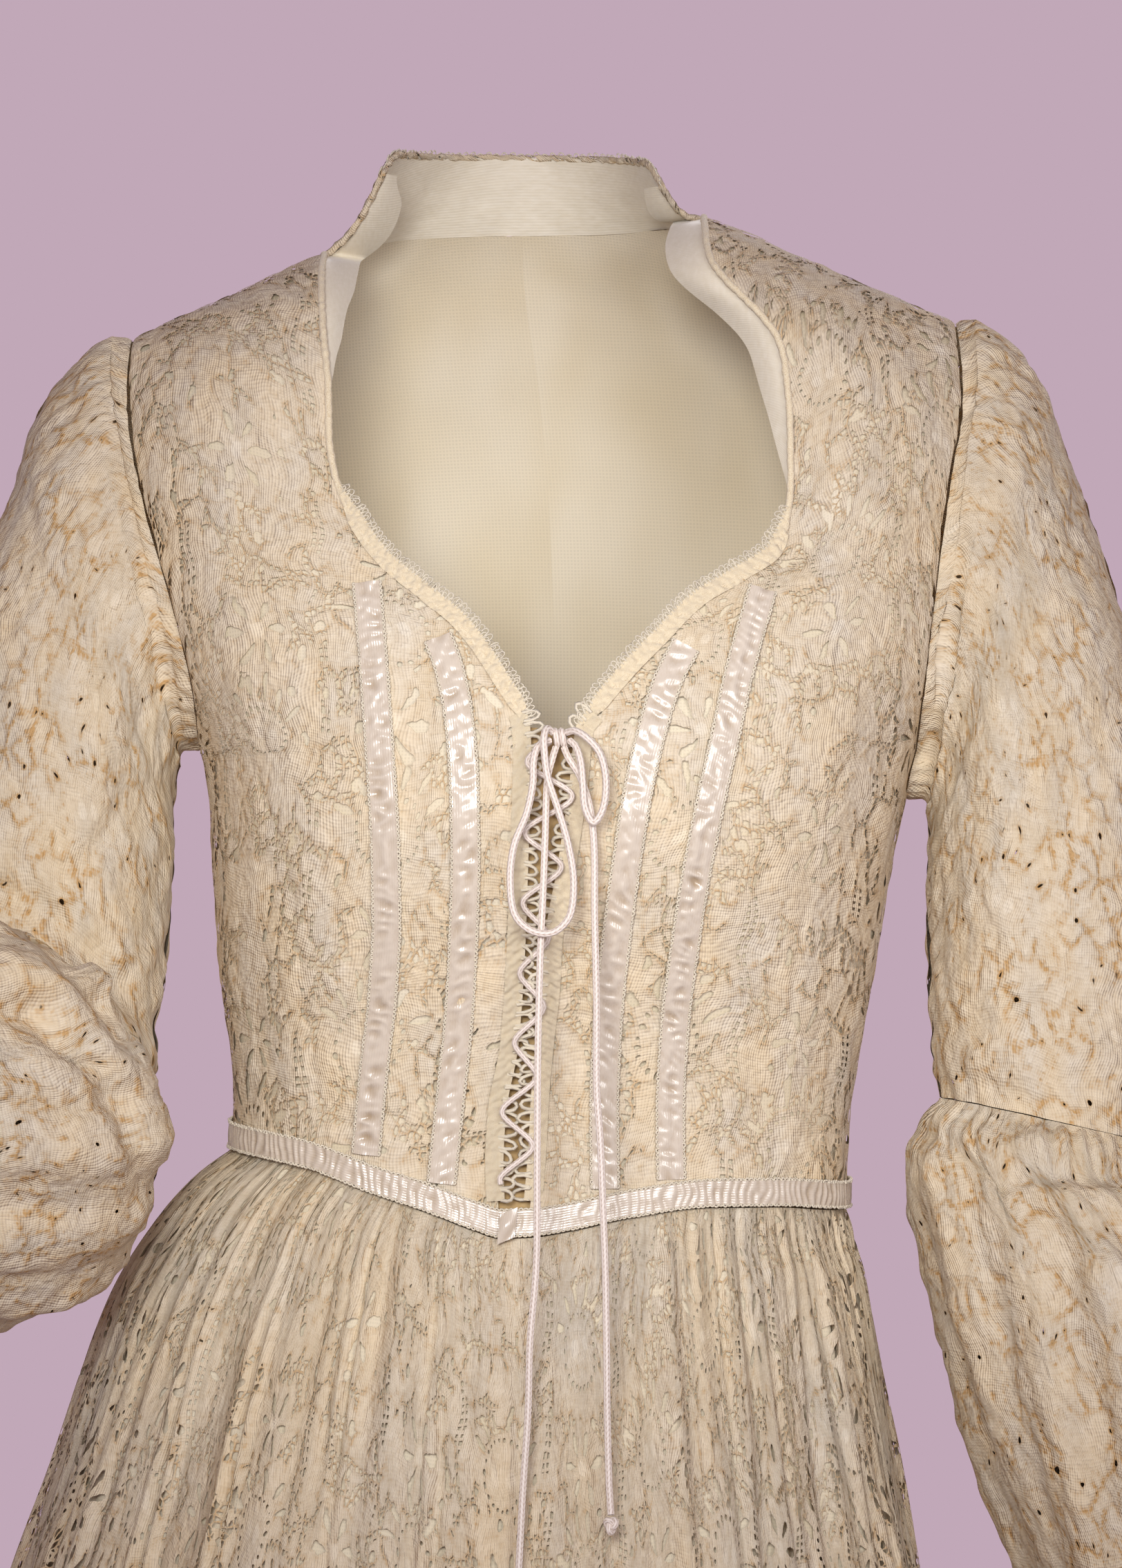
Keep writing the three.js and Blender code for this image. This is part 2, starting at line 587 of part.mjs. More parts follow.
// Plain cloth behind the lacing, inside the lining
const UNDERLAY_GAP = 2.4;
const UNDERLAY_PATH = table(['z', 'x'], [[-368, -11], [-300, -6], [-185, 3]]);
wall('lacing_underlay', UNDERLAY, frontStrip(UNDERLAY_PATH, 50, -185, -358),
  { us: steps(2), vs: steps(8), inner: -2 * LINING - UNDERLAY_GAP, outer: -LINING - UNDERLAY_GAP });

// A round of the waist: u runs from one side seam to the other across the front or the back
function waistRound(face) {
  return (u, v) => {
    const side = u < 0.5 ? 'left' : 'right';
    const turn = (Math.abs(u - 0.5) * 2 * Math.PI) / 2;
    const flat = reach(side, face, -355);
    const power = 2 / TORSO_ROUNDNESS;
    const x = flat.middle + sign(side) * flat.width * Math.sin(turn) ** power;
    const z = waistHeight(face, x) + SEAM + mix(WAIST_RIBBON, 0, v);
    const there = reach(side, face, z);
    const across = there.middle + sign(side) * there.width * Math.sin(turn) ** power;
    return {
      point: onBody(side, face, across, z),
      core: new THREE.Vector3(0, 0, z),
    };
  };
}
for (const face of FACES) {
  wall(`waist_ribbon_${face}`, CREAM_SATIN, waistRound(face),
    { us: seamed(steps(24)), vs: steps(1), inner: TRIM_IN, outer: TRIM_OUT });
}

// How far below the bodice the skirt's cloth starts, clear of the bodice's straight lower edges
const WAIST_DROP = 1.2;

// The skirt: one quarter, from the middle to the side seam and from the waist to the hem
function skirtGore(side, face, wavy) {
  const power = 2 / SKIRT_ROUNDNESS;
  const flat = reach(side, face, -355);
  const waistAt = (turn) => {
    const start = flat.middle + sign(side) * flat.width * Math.sin(turn) ** (2 / TORSO_ROUNDNESS);
    const z = waistHeight(face, start);
    return onBody(side, face, start, z);
  };
  const shares = steps(12);
  const waistPoints = shares.map((share) => waistAt((share * Math.PI) / 2));
  return (u, v) => {
    const turn = (u * Math.PI) / 2;
    const waist = straightRuns(waistPoints, shares, u).z - WAIST_DROP;
    const z = mix(waist, HEM_Z, v);
    const drop = waist - z;
    const body = reach(side, face, waist);
    const settle = Math.min(drop / 40, 1);
    const shape = mix(2 / TORSO_ROUNDNESS, power, settle);
    // The circle's angle round the skirt from the centre front
    const round = { 'right front': turn, 'right back': Math.PI - turn,
      'left back': Math.PI + turn, 'left front': -turn }[`${side} ${face}`];
    const gather = along(FLARE, 'gather', drop);
    const fold = along(FLARE, 'fold', drop);
    const depthOf = gather * (0.8 + 0.2 * Math.sin(5 * round + 1.3));
    const wave = wavy
      ? depthOf * Math.cos(GATHERS * round)
        + fold * Math.cos(BROAD_FOLDS * round + 0.9 * Math.sin(2 * round + 0.6))
      : -(gather + fold) - LINING;
    const width = body.width + along(FLARE, side, drop) + wave;
    const out = Math.abs(body.depth) + along(FLARE, face, drop) + wave;
    const facing = face === 'front' ? -1 : 1;
    return {
      point: new THREE.Vector3(
        body.middle + sign(side) * width * Math.sin(turn) ** shape,
        body.seam + facing * out * Math.cos(turn) ** shape,
        z,
      ),
      core: new THREE.Vector3(body.middle, 0, z),
    };
  };
}

for (const side of SIDES) {
  for (const face of FACES) {
    wall(`skirt_lining_${face}_${side}`, COTTON, skirtGore(side, face, false),
      { us: seamed(steps(6)), vs: SKIRT_ROWS.map((share) => Math.min(share, 0.996)), inner: -LINING,
        outer: 0 });
    wall(`skirt_lace_${face}_${side}`, ECRU_LACE, skirtGore(side, face, true),
      {
        us: seamed(steps(GATHERS / 2)),
        vs: SKIRT_ROWS,
        inner: 0,
        outer: LACE,
        hole: (i, j) => j === 2 && i > 0 && i % 5 === 2,
      });
  }
}

// A point of the armhole seam. turn runs from the shoulder tip by the front to the underarm and
// up the back.
function armhole(side, turn) {
  const low = (1 - Math.cos(turn)) / 2;
  const face = Math.sin(turn) >= 0 ? 'front' : 'back';
  const rows = [...SHOULDER_ROWS, 1];
  const underarm = panelRows(side)[SHOULDER_ROWS.length];
  const panel = bodicePanel(side, face);
  const edge = rows.map((row) => panel(1, row * underarm).point);
  const point = straightRuns(edge, rows, low);
  point.x += sign(side) * 1.1;
  point.z += 1.6 * low;
  return point;
}

// How far the sleeve's head leads out from the armhole seam over its first station
const HEAD_LIFT = 9;

// The straight runs of the elbow seam, which both parts of a sleeve share
const ELBOW_US = seamed(steps(7), 0.003);

// A sleeve's surface: u runs round it from the outer line by the front, v along it
function sleeve(side, fromStation, toStation, half) {
  const rows = side === 'left' ? SLEEVE_LEFT : SLEEVE_RIGHT;
  const ringAt = (station) => {
    const value = (column) => along(rows, column, station);
    const outer = new THREE.Vector3(value('outerX'), value('outerY'), value('outerZ'));
    const inner = new THREE.Vector3(value('innerX'), value('innerY'), value('innerZ'));
    return { outer, inner, depth: value('depth') };
  };
  const centre = (station) => {
    const { outer, inner } = ringAt(station);
    return outer.add(inner).multiplyScalar(0.5);
  };
  const ringPoint = (station, turn) => {
    const { outer, inner, depth } = ringAt(station);
    const middle = outer.clone().add(inner).multiplyScalar(0.5);
    const reachOut = outer.clone().sub(middle);
    // The rings keep one direction through the elbow seam, and turn with the arm past it
    const facing = station < 10 ? Math.min(station, 9.6) : Math.max(9.6, station - 0.7);
    const ahead = centre(facing + 0.5).sub(centre(Math.max(facing - 0.5, 1)));
    const forward = reachOut.clone().cross(ahead).normalize().multiplyScalar(-sign(side) * depth);
    const swell = 1 + puffWave(station, turn);
    return middle.clone()
      .addScaledVector(reachOut, Math.cos(turn) * swell)
      .addScaledVector(forward, Math.sin(turn) * swell);
  };
  return (u, v) => {
    const station = mix(fromStation, toStation, v);
    const turnOf = (share) => Math.PI * (share + (half === 'front' ? 0 : 1));
    const atElbow = Math.abs(station - 10) < 0.06;
    const point = atElbow
      ? straightRuns(ELBOW_US.map((share) => ringPoint(station, turnOf(share))), ELBOW_US, u)
      : ringPoint(Math.max(station, 1), turnOf(u));
    if (station < 2) {
      const seam = armhole(side, turnOf(u));
      seam.x += sign(side) * HEAD_LIFT * station;
      point.lerp(seam, 1 - station / 2);
    }
    return { point, core: centre(Math.max(station, 1.6)) };
  };
}

// Gathers of the lower sleeve, as a share of its radius, deepest in the middle of the puff
const PUFFS = 7;
function puffWave(station, turn) {
  const depth = 0.035 * Math.sin(Math.PI * Math.min(Math.max((station - 10) / 8, 0), 1));
  return depth * Math.cos(PUFFS * 2 * turn);
}

const PUFF_US = seamed(steps(2 * PUFFS), 0.003);
const share = (stations) => {
  const first = stations[0];
  const last = stations[stations.length - 1];
  return stations.map((station) => (station - first) / (last - first));
};
for (const side of SIDES) {
  for (const half of FACES) {
    wall(`sleeve_upper_${half}_${side}`, ECRU_LACE, sleeve(side, 0, 10, half), {
      us: ELBOW_US,
      vs: share(UPPER_STATIONS).map((at) => Math.min(at, 0.9985)),
      inner: -LACE,
      outer: 0,
      hole: (i, j) => j > 1 && j < 7 && i > 0 && i < 7 && (2 * i + 3 * j) % 8 === 0,
    });
    wall(`sleeve_lower_${half}_${side}`, ECRU_LACE, sleeve(side, 10, 18, half), {
      us: PUFF_US,
      vs: share(LOWER_STATIONS).map((at) => Math.min(Math.max(at, 0.008), 0.9985)),
      inner: -LACE,
      outer: 0,
      hole: (i, j) => j > 0 && j < 6 && i > 0 && i < 13 && (3 * i + 4 * j) % 14 === 0,
    });
  }
}

// Cuffs: plain bands round the wrist
for (const side of SIDES) {
  const front = sleeve(side, 18, 19, 'front');
  const back = sleeve(side, 18, 19, 'back');
  const cuff = (u, v) => (u <= 0.5 ? front(u * 2, v) : back(u * 2 - 1, v));
  wall(`cuff_${side}`, ECRU_LACE, cuff,
    { us: steps(12).slice(0, 12), vs: steps(1, 0.006, 1), inner: -2, outer: 0, ring: true });
}

// Braided cord: a round section swept along a smooth route
function cord(name, route, diameter, pieces) {
  const curve = new THREE.CatmullRomCurve3(route.map((point) => new THREE.Vector3(...point)));
  curve.curveType = 'centripetal';
  const section = new THREE.Shape();
  const sides = 8;
  for (let k = 0; k < sides; k += 1) {
    const angle = (2 * Math.PI * k) / sides;
    const x = (diameter / 2) * Math.cos(angle);
    const y = (diameter / 2) * Math.sin(angle);
    if (k === 0) section.moveTo(x, y);
    else section.lineTo(x, y);
  }
  const geometry = new THREE.ExtrudeGeometry(section, { steps: pieces, extrudePath: curve });
  addPiece(name, BRAID, geometry);
}

// Lacing: one cord that runs from loop to loop up the opening, above the bands
const LACING = {
  diameter: 2.2,
  rungs: 13,
  bottom: -351,
  top: -190,
  turn: 2.1,
  knotEnd: [2.9, -124, -182.4],
};
function lacingRoute() {
  const out = TRIM_OUT + SEAM + LACING.diameter / 2 + 0.3;
  const route = [];
  for (let k = 0; k < LACING.rungs; k += 1) {
    const height = mix(LACING.bottom, LACING.top, k / (LACING.rungs - 1));
    const left = k % 2 === 0;
    for (const dz of [-LACING.turn, LACING.turn]) {
      const z = height + dz;
      const edge = along(left ? FRONT_EDGE_LEFT : FRONT_EDGE_RIGHT, 'x', z);
      const x = edge + (left ? 1.4 : -1.4);
      const point = onBody(left ? 'left' : 'right', 'front', x, z);
      route.push([x, point.y - out, z]);
    }
  }
  route.push(LACING.knotEnd);
  return route;
}
cord('lacing_cord', lacingRoute(), LACING.diameter, 42);

cord('tail_left', TAIL_LEFT_ROUTE, CORD, 22);
cord('tail_right', TAIL_RIGHT_ROUTE, CORD, 20);
cord('bow_loop_left', LOOP_LEFT_ROUTE, CORD, 22);
cord('bow_loop_right', LOOP_RIGHT_ROUTE, CORD, 12);

// Knots, as rounded lumps
function knot(name, x, y, z, width, depth, height) {
  const geometry = new THREE.SphereGeometry(0.5, 8, 5);
  geometry.scale(width, depth, height);
  geometry.translate(x, y, z);
  addPiece(name, BRAID, geometry);
}
knot('bow_knot', BOW_KNOT.x, BOW_KNOT.y, BOW_KNOT.z, BOW_KNOT.width, BOW_KNOT.depth, BOW_KNOT.height);
for (const [name, route] of [['knot_left', TAIL_LEFT_ROUTE], ['knot_right', TAIL_RIGHT_ROUTE]]) {
  const [x, y, z] = route[route.length - 1];
  knot(name, x, y, z - END_KNOT.height / 2 - SEAM, END_KNOT.width, END_KNOT.width, END_KNOT.height);
}

export default dress;
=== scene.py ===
import math

import bpy
import numpy as np
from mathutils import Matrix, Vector


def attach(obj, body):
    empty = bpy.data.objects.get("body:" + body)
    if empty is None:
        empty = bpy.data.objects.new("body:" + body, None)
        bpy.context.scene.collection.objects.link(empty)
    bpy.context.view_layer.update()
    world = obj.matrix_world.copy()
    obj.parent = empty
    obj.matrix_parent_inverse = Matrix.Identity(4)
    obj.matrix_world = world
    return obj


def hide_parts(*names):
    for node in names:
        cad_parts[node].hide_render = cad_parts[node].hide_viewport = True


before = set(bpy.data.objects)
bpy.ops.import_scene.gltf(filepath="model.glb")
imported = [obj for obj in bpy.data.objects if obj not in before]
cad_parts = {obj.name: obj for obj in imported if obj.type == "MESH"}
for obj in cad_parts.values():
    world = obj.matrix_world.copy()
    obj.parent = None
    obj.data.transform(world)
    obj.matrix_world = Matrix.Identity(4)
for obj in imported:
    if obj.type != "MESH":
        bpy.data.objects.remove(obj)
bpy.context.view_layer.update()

MM = 0.001

# Camera: level, 2.4 m in front of the dress, so that the frame is 614 mm high on the bodice.
# It sees what a close-up of the upper half shows.
camera = bpy.data.objects.new("camera", bpy.data.cameras.new("camera"))
bpy.context.scene.collection.objects.link(camera)
camera.location = (0.0068, -2.45, -0.1985)
camera.rotation_euler = (math.radians(90), 0, 0)
camera.data.sensor_width = 36
camera.data.lens = 140.9
bpy.context.scene.camera = camera
bpy.context.scene.view_settings.view_transform = "Standard"


# Cord: a round rayon braid, 2.8 mm thick, that laces the front and is tied in a bow at the top.
# It is tube-braided, so its strands lie in columns of slanted stitches that meet in points.
CORD = 2.8
LACING_CORD = 2.2
TAIL_LEFT_ROUTE = [
    (4.8, -127.2, -184.8), (3.6, -129.8, -188.6), (1.8, -131, -196), (0.8, -131, -219),
    (0, -131, -240), (-1, -130.8, -262), (-1.9, -130.6, -298), (-2.2, -130.5, -340),
    (-2.6, -130.5, -381), (-4.9, -130.6, -409), (-5.7, -131, -437), (-7.6, -133.4, -465),
    (-9, -140, -492), (-10.5, -146.5, -515), (-12, -153.5, -540), (-13, -160, -562),
]
TAIL_RIGHT_ROUTE = [
    (8, -127.2, -184.8), (9.6, -129.8, -188.6), (13.6, -131, -195), (17.4, -131, -206),
    (19.2, -131, -220), (19.5, -131, -247), (20.2, -130.8, -280), (20.3, -130.6, -314),
    (21.6, -130.5, -333), (22.7, -130.5, -360), (23.5, -130.5, -381), (24, -130.6, -410),
    (24.3, -131, -437), (24.9, -133.6, -462), (25.6, -137, -474),
]
LOOP_LEFT_ROUTE = [
    (3.6, -128.4, -178.9), (1.6, -131.2, -177.6), (0.4, -134, -180.5), (0.6, -135.2, -187),
    (1.8, -135.2, -196), (5.7, -135.2, -208), (9.7, -135.2, -222), (11.6, -135.2, -236),
    (9.7, -135.2, -249), (3.5, -135.2, -254.6), (-4, -135.2, -254), (-10.3, -135.2, -248.4),
    (-12.4, -135.2, -236), (-11, -135.2, -222), (-6, -135.2, -209), (-3.8, -135, -198),
    (-3.6, -134.2, -190), (-2.2, -132, -184.8), (0, -130, -182.8), (2.7, -128.4, -182),
]
LOOP_RIGHT_ROUTE = [
    (9.2, -128.4, -178.9), (12, -131.4, -178.4), (16.5, -134.6, -181), (21.5, -135.2, -187),
    (23.8, -135.2, -198), (22.2, -135.2, -209), (19, -135.2, -213), (16, -135.2, -208),
    (15, -135, -198), (14.2, -133.5, -190), (12.4, -130.8, -184.4), (10.1, -128.4, -182),
]


def linear(code):
    """An sRGB hex colour as Blender's linear red, green, blue and alpha."""
    parts = [int(code[k:k + 2], 16) / 255 for k in (1, 3, 5)]
    return [p / 12.92 if p <= 0.04045 else ((p + 0.055) / 1.055) ** 2.4 for p in parts] + [1.0]


def add(tree, kind, inputs=(), out=0, **settings):
    """Adds a node, sets it up, fills or links its inputs, and gives one of its outputs."""
    made = tree.nodes.new(kind)
    for key, value in settings.items():
        setattr(made, key, value)
    for place, value in inputs.items() if isinstance(inputs, dict) else enumerate(inputs):
        if isinstance(value, bpy.types.NodeSocket):
            tree.links.new(value, made.inputs[place])
        elif value is not None:
            made.inputs[place].default_value = value
    return made.outputs[out]


def new_material(name, shell):
    """An empty node material, with its Principled shader set from shell's plain values."""
    material = bpy.data.materials.new(name)
    material.use_nodes = True
    shader = material.node_tree.nodes["Principled BSDF"]
    for socket, value in shell.items():
        shader.inputs[socket].default_value = value
    return material, material.node_tree, shader


def put(name, points, faces, material, node, slot, flat=None, relief_and_shade=None):
    """A smooth mesh from points in millimetres, that stands for a CAD node."""
    mesh = bpy.data.meshes.new(name)
    points = np.asarray(points, float).reshape(-1, 3) * MM
    sizes = np.array([len(face) for face in faces]) if isinstance(faces, list) else None
    corners = np.concatenate(faces) if sizes is not None else faces.ravel()
    if sizes is None:
        sizes = np.full(len(faces), faces.shape[1])
    mesh.vertices.add(len(points))
    mesh.vertices.foreach_set("co", points.ravel())
    mesh.loops.add(len(corners))
    mesh.loops.foreach_set("vertex_index", corners.astype(np.int32))
    mesh.polygons.add(len(sizes))
    mesh.polygons.foreach_set("loop_start", np.concatenate([[0], np.cumsum(sizes)[:-1]]).astype(np.int32))
    mesh.polygons.foreach_set("use_smooth", np.ones(len(sizes), bool))
    mesh.update(calc_edges=True)
    if flat is not None:
        layer = mesh.uv_layers.new(name="cloth")
        layer.data.foreach_set("uv", (np.asarray(flat).reshape(-1, 2)[corners] * MM).ravel())
    # The value stored on each point is read by the cord and satin colours as painted light and shade
    if relief_and_shade is not None:
        shade = mesh.attributes.new("relief_and_shade", "FLOAT", "POINT")
        shade.data.foreach_set("value", np.asarray(relief_and_shade, float).ravel())
    mesh.materials.append(material)
    piece = bpy.data.objects.new(name, mesh)
    bpy.context.scene.collection.objects.link(piece)
    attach(piece, "root")
    if node:
        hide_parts(node)
    return piece


def grid_faces(rows, columns, ring=False):
    """Four-sided faces of a grid, closed round each row where it is a ring."""
    width = columns if ring else columns - 1
    i, j = np.meshgrid(np.arange(width), np.arange(rows - 1))
    near, next_one = j * columns + i, j * columns + (i + 1) % columns
    return np.stack([near, next_one, next_one + columns, near + columns], -1).reshape(-1, 4)


def smooth_path(route, spacing):
    """Even points on a smooth centripetal curve through the route's points, and its length."""
    points = np.array(route, float)
    points = np.vstack([2 * points[0] - points[1], points, 2 * points[-1] - points[-2]])
    gap = np.sqrt(np.linalg.norm(np.diff(points, axis=0), axis=1))[:, None]
    before, here, after = gap[:-2], gap[1:-1], gap[2:]
    a, b, c, d = points[:-3], points[1:-2], points[2:-1], points[3:]
    leave = ((b - a) / before - (c - a) / (before + here) + (c - b) / here) * here
    arrive = ((c - b) / here - (d - b) / (here + after) + (d - c) / after) * here
    t = np.linspace(0, 1, 25)[:-1, None, None]
    dense = b + t * (leave + t * (3 * (c - b) - 2 * leave - arrive + t * (leave + arrive - 2 * (c - b))))
    dense = np.vstack([dense.swapaxes(0, 1).reshape(-1, 3), points[-2:-1]])
    length = np.concatenate([[0], np.cumsum(np.linalg.norm(np.diff(dense, axis=0), axis=1))])
    even = np.linspace(0, length[-1], max(int(length[-1] / spacing), 8))
    return np.stack([np.interp(even, length, dense[:, k]) for k in range(3)], -1), length[-1]


def carried_frames(path, ring=False):
    """Two directions across the path at each point, turned as little as may be along it."""
    ahead = np.gradient(path, axis=0)
    if ring:
        ahead = np.roll(path, -1, 0) - np.roll(path, 1, 0)
    ahead /= np.linalg.norm(ahead, axis=1)[:, None]
    side = np.empty_like(path)
    start = np.cross(ahead[0], (0.3, 0.1, 1))
    side[0] = start / np.linalg.norm(start)
    for k in range(1, len(path)):
        turned = side[k - 1] - ahead[k] * side[k - 1].dot(ahead[k])
        side[k] = turned / np.linalg.norm(turned)
    return side, np.cross(ahead, side)


# Columns of stitches round the cord, the rise of one stitch, and how deep the braid's grooves are
BRAID_COLUMNS = 6
STITCH = 2.1
GROOVE = 0.2


def braided_tube(path, diameter, slim=1.0):
    """Points, faces and stitch height of a braided cord along a path of even steps. The height also darkens
    the cord's colour in its grooves, as painted shade.
    """
    sides = BRAID_COLUMNS * 4
    side, up = carried_frames(path)
    along_it = np.arange(len(path)) * np.linalg.norm(path[1] - path[0])
    turn = np.arange(sides) / sides * BRAID_COLUMNS
    column, across = np.floor(turn), turn % 1
    slant = np.where(column % 2 == 0, across, 1 - across)
    stitch = (along_it[:, None] / STITCH + 0.9 * slant[None]) % 1
    relief_and_shade = np.sqrt(np.sin(np.pi * across))[None] * 0.5 + np.abs(np.sin(np.pi * stitch)) ** 0.6 * 0.5
    radius = diameter / 2 * slim * (1 - GROOVE * (1 - relief_and_shade))
    angle = 2 * np.pi * np.arange(sides) / sides
    rings = path[:, None] + radius[..., None] * (
        np.cos(angle)[None, :, None] * side[:, None] + np.sin(angle)[None, :, None] * up[:, None])
    return rings, grid_faces(len(path), sides, ring=True), relief_and_shade


braid_material, tree, shader = new_material("braided_rayon_cord", {
    "Roughness": 0.42, "IOR": 1.47, "Sheen Weight": 0.15})
# Painted shade: the stitch height stored on each point makes the colour darker in the grooves and between the
# stitches, and the grain noise adds random tone
relief_and_shade = add(tree, "ShaderNodeAttribute", out="Fac", attribute_name="relief_and_shade")
grain = add(tree, "ShaderNodeTexNoise", {"Scale": 900.0, "Detail": 3.0})
depth = add(tree, "ShaderNodeMath", (grain, 0.45, relief_and_shade), operation="MULTIPLY_ADD")
depth = add(tree, "ShaderNodeMath", (depth, 0.2), operation="SUBTRACT")
tint = add(tree, "ShaderNodeValToRGB", (depth,))
for tone, place, code in zip(tint.node.color_ramp.elements, (0.15, 0.85), ("#A88C74", "#F0E3D8")):
    tone.position, tone.color = place, linear(code)
tree.links.new(tint, shader.inputs["Base Color"])
fine = add(tree, "ShaderNodeBump", {"Strength": 0.4, "Distance": 0.0002, "Height": grain})
tree.links.new(fine, shader.inputs["Normal"])


def cord(node, route, diameter):
    """A braided cord along a route."""
    path, length = smooth_path(route, 0.42)
    rings, faces, relief_and_shade = braided_tube(path, diameter)
    piece = put(node + "_braid", rings, faces, braid_material, node, "braid", relief_and_shade=relief_and_shade)
    return piece


cord("tail_left", TAIL_LEFT_ROUTE, CORD)
cord("tail_right", TAIL_RIGHT_ROUTE, CORD)
cord("bow_loop_left", LOOP_LEFT_ROUTE, CORD)
cord("bow_loop_right", LOOP_RIGHT_ROUTE, CORD)


# Lacing: a thinner length of the same braid, crossed from loop to loop up the front opening.
# Its lower end is sewn in at the waist and its upper end runs into the bow's knot.
LACING_RUNGS = 13
LACING_BOTTOM = -351
LACING_TOP = -190
LACING_TURN = 1.3
LACING_KNOT_END = (2.9, -124, -182.4)
LACING_PAST_EDGE = 1.4
LOOP_THICKNESS = 0.3
LINING = 1.0
LACE = 1.2
SATIN = 1.0
LACE_IN = 0.4
LACE_OUT = LACE_IN + LACE
TRIM_IN = LACE_OUT + 0.95
TRIM_OUT = TRIM_IN + SATIN


def table(columns, rows):
    """Rows of measures as columns that are read by name, the first of them as the key."""
    return dict(zip(["keys"] + columns[1:], np.array(rows, float).T))


def along(rows, column, key):
    """The value of a table's column at a key, on a smooth line that never overshoots the rows."""
    keys, values = rows["keys"], rows[column]
    step = np.diff(keys)
    slope = np.diff(values) / step
    product = slope[:-1] * slope[1:]
    total = np.where(product > 0, slope[:-1] + slope[1:], 1)
    bend = np.concatenate([slope[:1], np.where(product > 0, 2 * product / total, 0), slope[-1:]])
    key = np.clip(key, keys[0], keys[-1])
    at = np.clip(np.searchsorted(keys, key, side="left") - 1, 0, len(keys) - 2)
    t = (key - keys[at]) / step[at]
    rise = values[at + 1] - values[at]
    a, b = bend[at] * step[at], bend[at + 1] * step[at]
    return values[at] + t * (a + t * (3 * rise - 2 * a - b + t * (a + b - 2 * rise)))


# Body sections from waist to shoulder, in millimetres: the widest points left and right, the middle
# line, the front and back faces, and the side seam
TORSO = table(["z", "left", "right", "middle", "front", "back", "side"], [
    (-378, -127, 119.5, -13, -88, 82, -4),
    (-350, -123.5, 120, -10, -87, 78, -5),
    (-325, -122.5, 121.5, -8, -89, 74, -6),
    (-297, -124.5, 126, -6, -94, 73, -7),
    (-270, -128.5, 131, -4, -103, 76, -7),
    (-235, -130.5, 136.5, -1, -115, 82, -6),
    (-207, -132, 142.5, 2, -120, 87, -4),
    (-187, -135.5, 147, 4, -119, 90, -2),
    (-150, -150, 160, 4, -110, 94, 0),
    (-109, -163, 168, 3, -96, 95, 3),
    (-60, -173, 176, 0, -80, 92, 8),
    (-20, -177, 179, -4, -68, 85, 13),
    (35, -177, 179, -9, -58, 74, 18),
])
FRONT_EDGE = {
    "left": table(["z", "x"], [
        (-380, -16), (-345, -18), (-325, -17), (-298, -12.2), (-260, -9.5), (-219, -8), (-190, -7),
        (-177, -7.6), (-159.5, -16.8), (-138, -32), (-127, -45), (-113, -61.6), (-100.5, -71),
        (-81, -80), (-64, -83), (-46, -83.5), (-20, -85), (0, -85.5), (14, -88),
    ]),
    "right": table(["z", "x"], [
        (-380, -7), (-340, -3.2), (-317, -2), (-298, -0.3), (-275, 2.2), (-259, 3), (-230, 8),
        (-200, 12.5), (-178, 15), (-170.5, 20.8), (-157, 32), (-144, 44.6), (-128.6, 60), (-120, 74),
        (-109, 89.5), (-98, 93.5), (-81, 95.7), (-60, 95.7), (-39, 94.3), (-25, 92), (-13.5, 87.8),
        (-3.8, 80.8), (6, 71), (18, 64.5), (29, 64),
    ]),
}
SIGN = {"left": -1, "right": 1}
ROUNDNESS = 2.35


def reach(side, face, z):
    """The middle line, the side seam, and the body's half width and depth at a height."""
    middle, seam = along(TORSO, "middle", z), along(TORSO, "side", z)
    return middle, seam, np.abs(along(TORSO, side, z) - middle), along(TORSO, face, z) - seam


def on_body(side, face, x, z, roll=1.0):
    """A point of the body's shape. roll is 0 on the shoulder seam and 1 where the cloth hangs."""
    middle, seam, width, depth = reach(side, face, z)
    full = (1 - np.minimum(np.abs(x - middle) / width, 1) ** ROUNDNESS) ** (1 / ROUNDNESS)
    return np.stack(np.broadcast_arrays(x, seam + depth * full * roll, z), -1)


def lacing_route():
    """The zig-zag of the lacing, with two close points at each turn."""
    out = TRIM_OUT + LOOP_THICKNESS + LACING_CORD / 2 + LOOP_THICKNESS
    route = []
    for k in range(LACING_RUNGS):
        side = "left" if k % 2 == 0 else "right"
        for dz in (-LACING_TURN, LACING_TURN):
            z = LACING_BOTTOM + (LACING_TOP - LACING_BOTTOM) * k / (LACING_RUNGS - 1) + dz
            x = along(FRONT_EDGE[side], "x", z) - SIGN[side] * LACING_PAST_EDGE
            route.append(on_body(side, "front", x, z) - (0, out, 0))
    return route + [LACING_KNOT_END]


cord("lacing_cord", lacing_route(), LACING_CORD)


# Knots: the bow's knot is one strand wound twice over the roots of its loops, and each tail
# ends in an overhand knot drawn tight.
def knotted(node, path, diameter):
    """A closed or open run of braid that stands for a knot."""
    rings, faces, relief_and_shade = braided_tube(path, diameter)
    caps = [tuple(range(rings.shape[1]))[::-1],
            tuple(range(rings.shape[0] * rings.shape[1] - rings.shape[1], rings.shape[0] * rings.shape[1]))]
    return put(node + "_braid", rings, [tuple(face) for face in faces] + caps, braid_material, node,
               "braid", relief_and_shade=relief_and_shade)


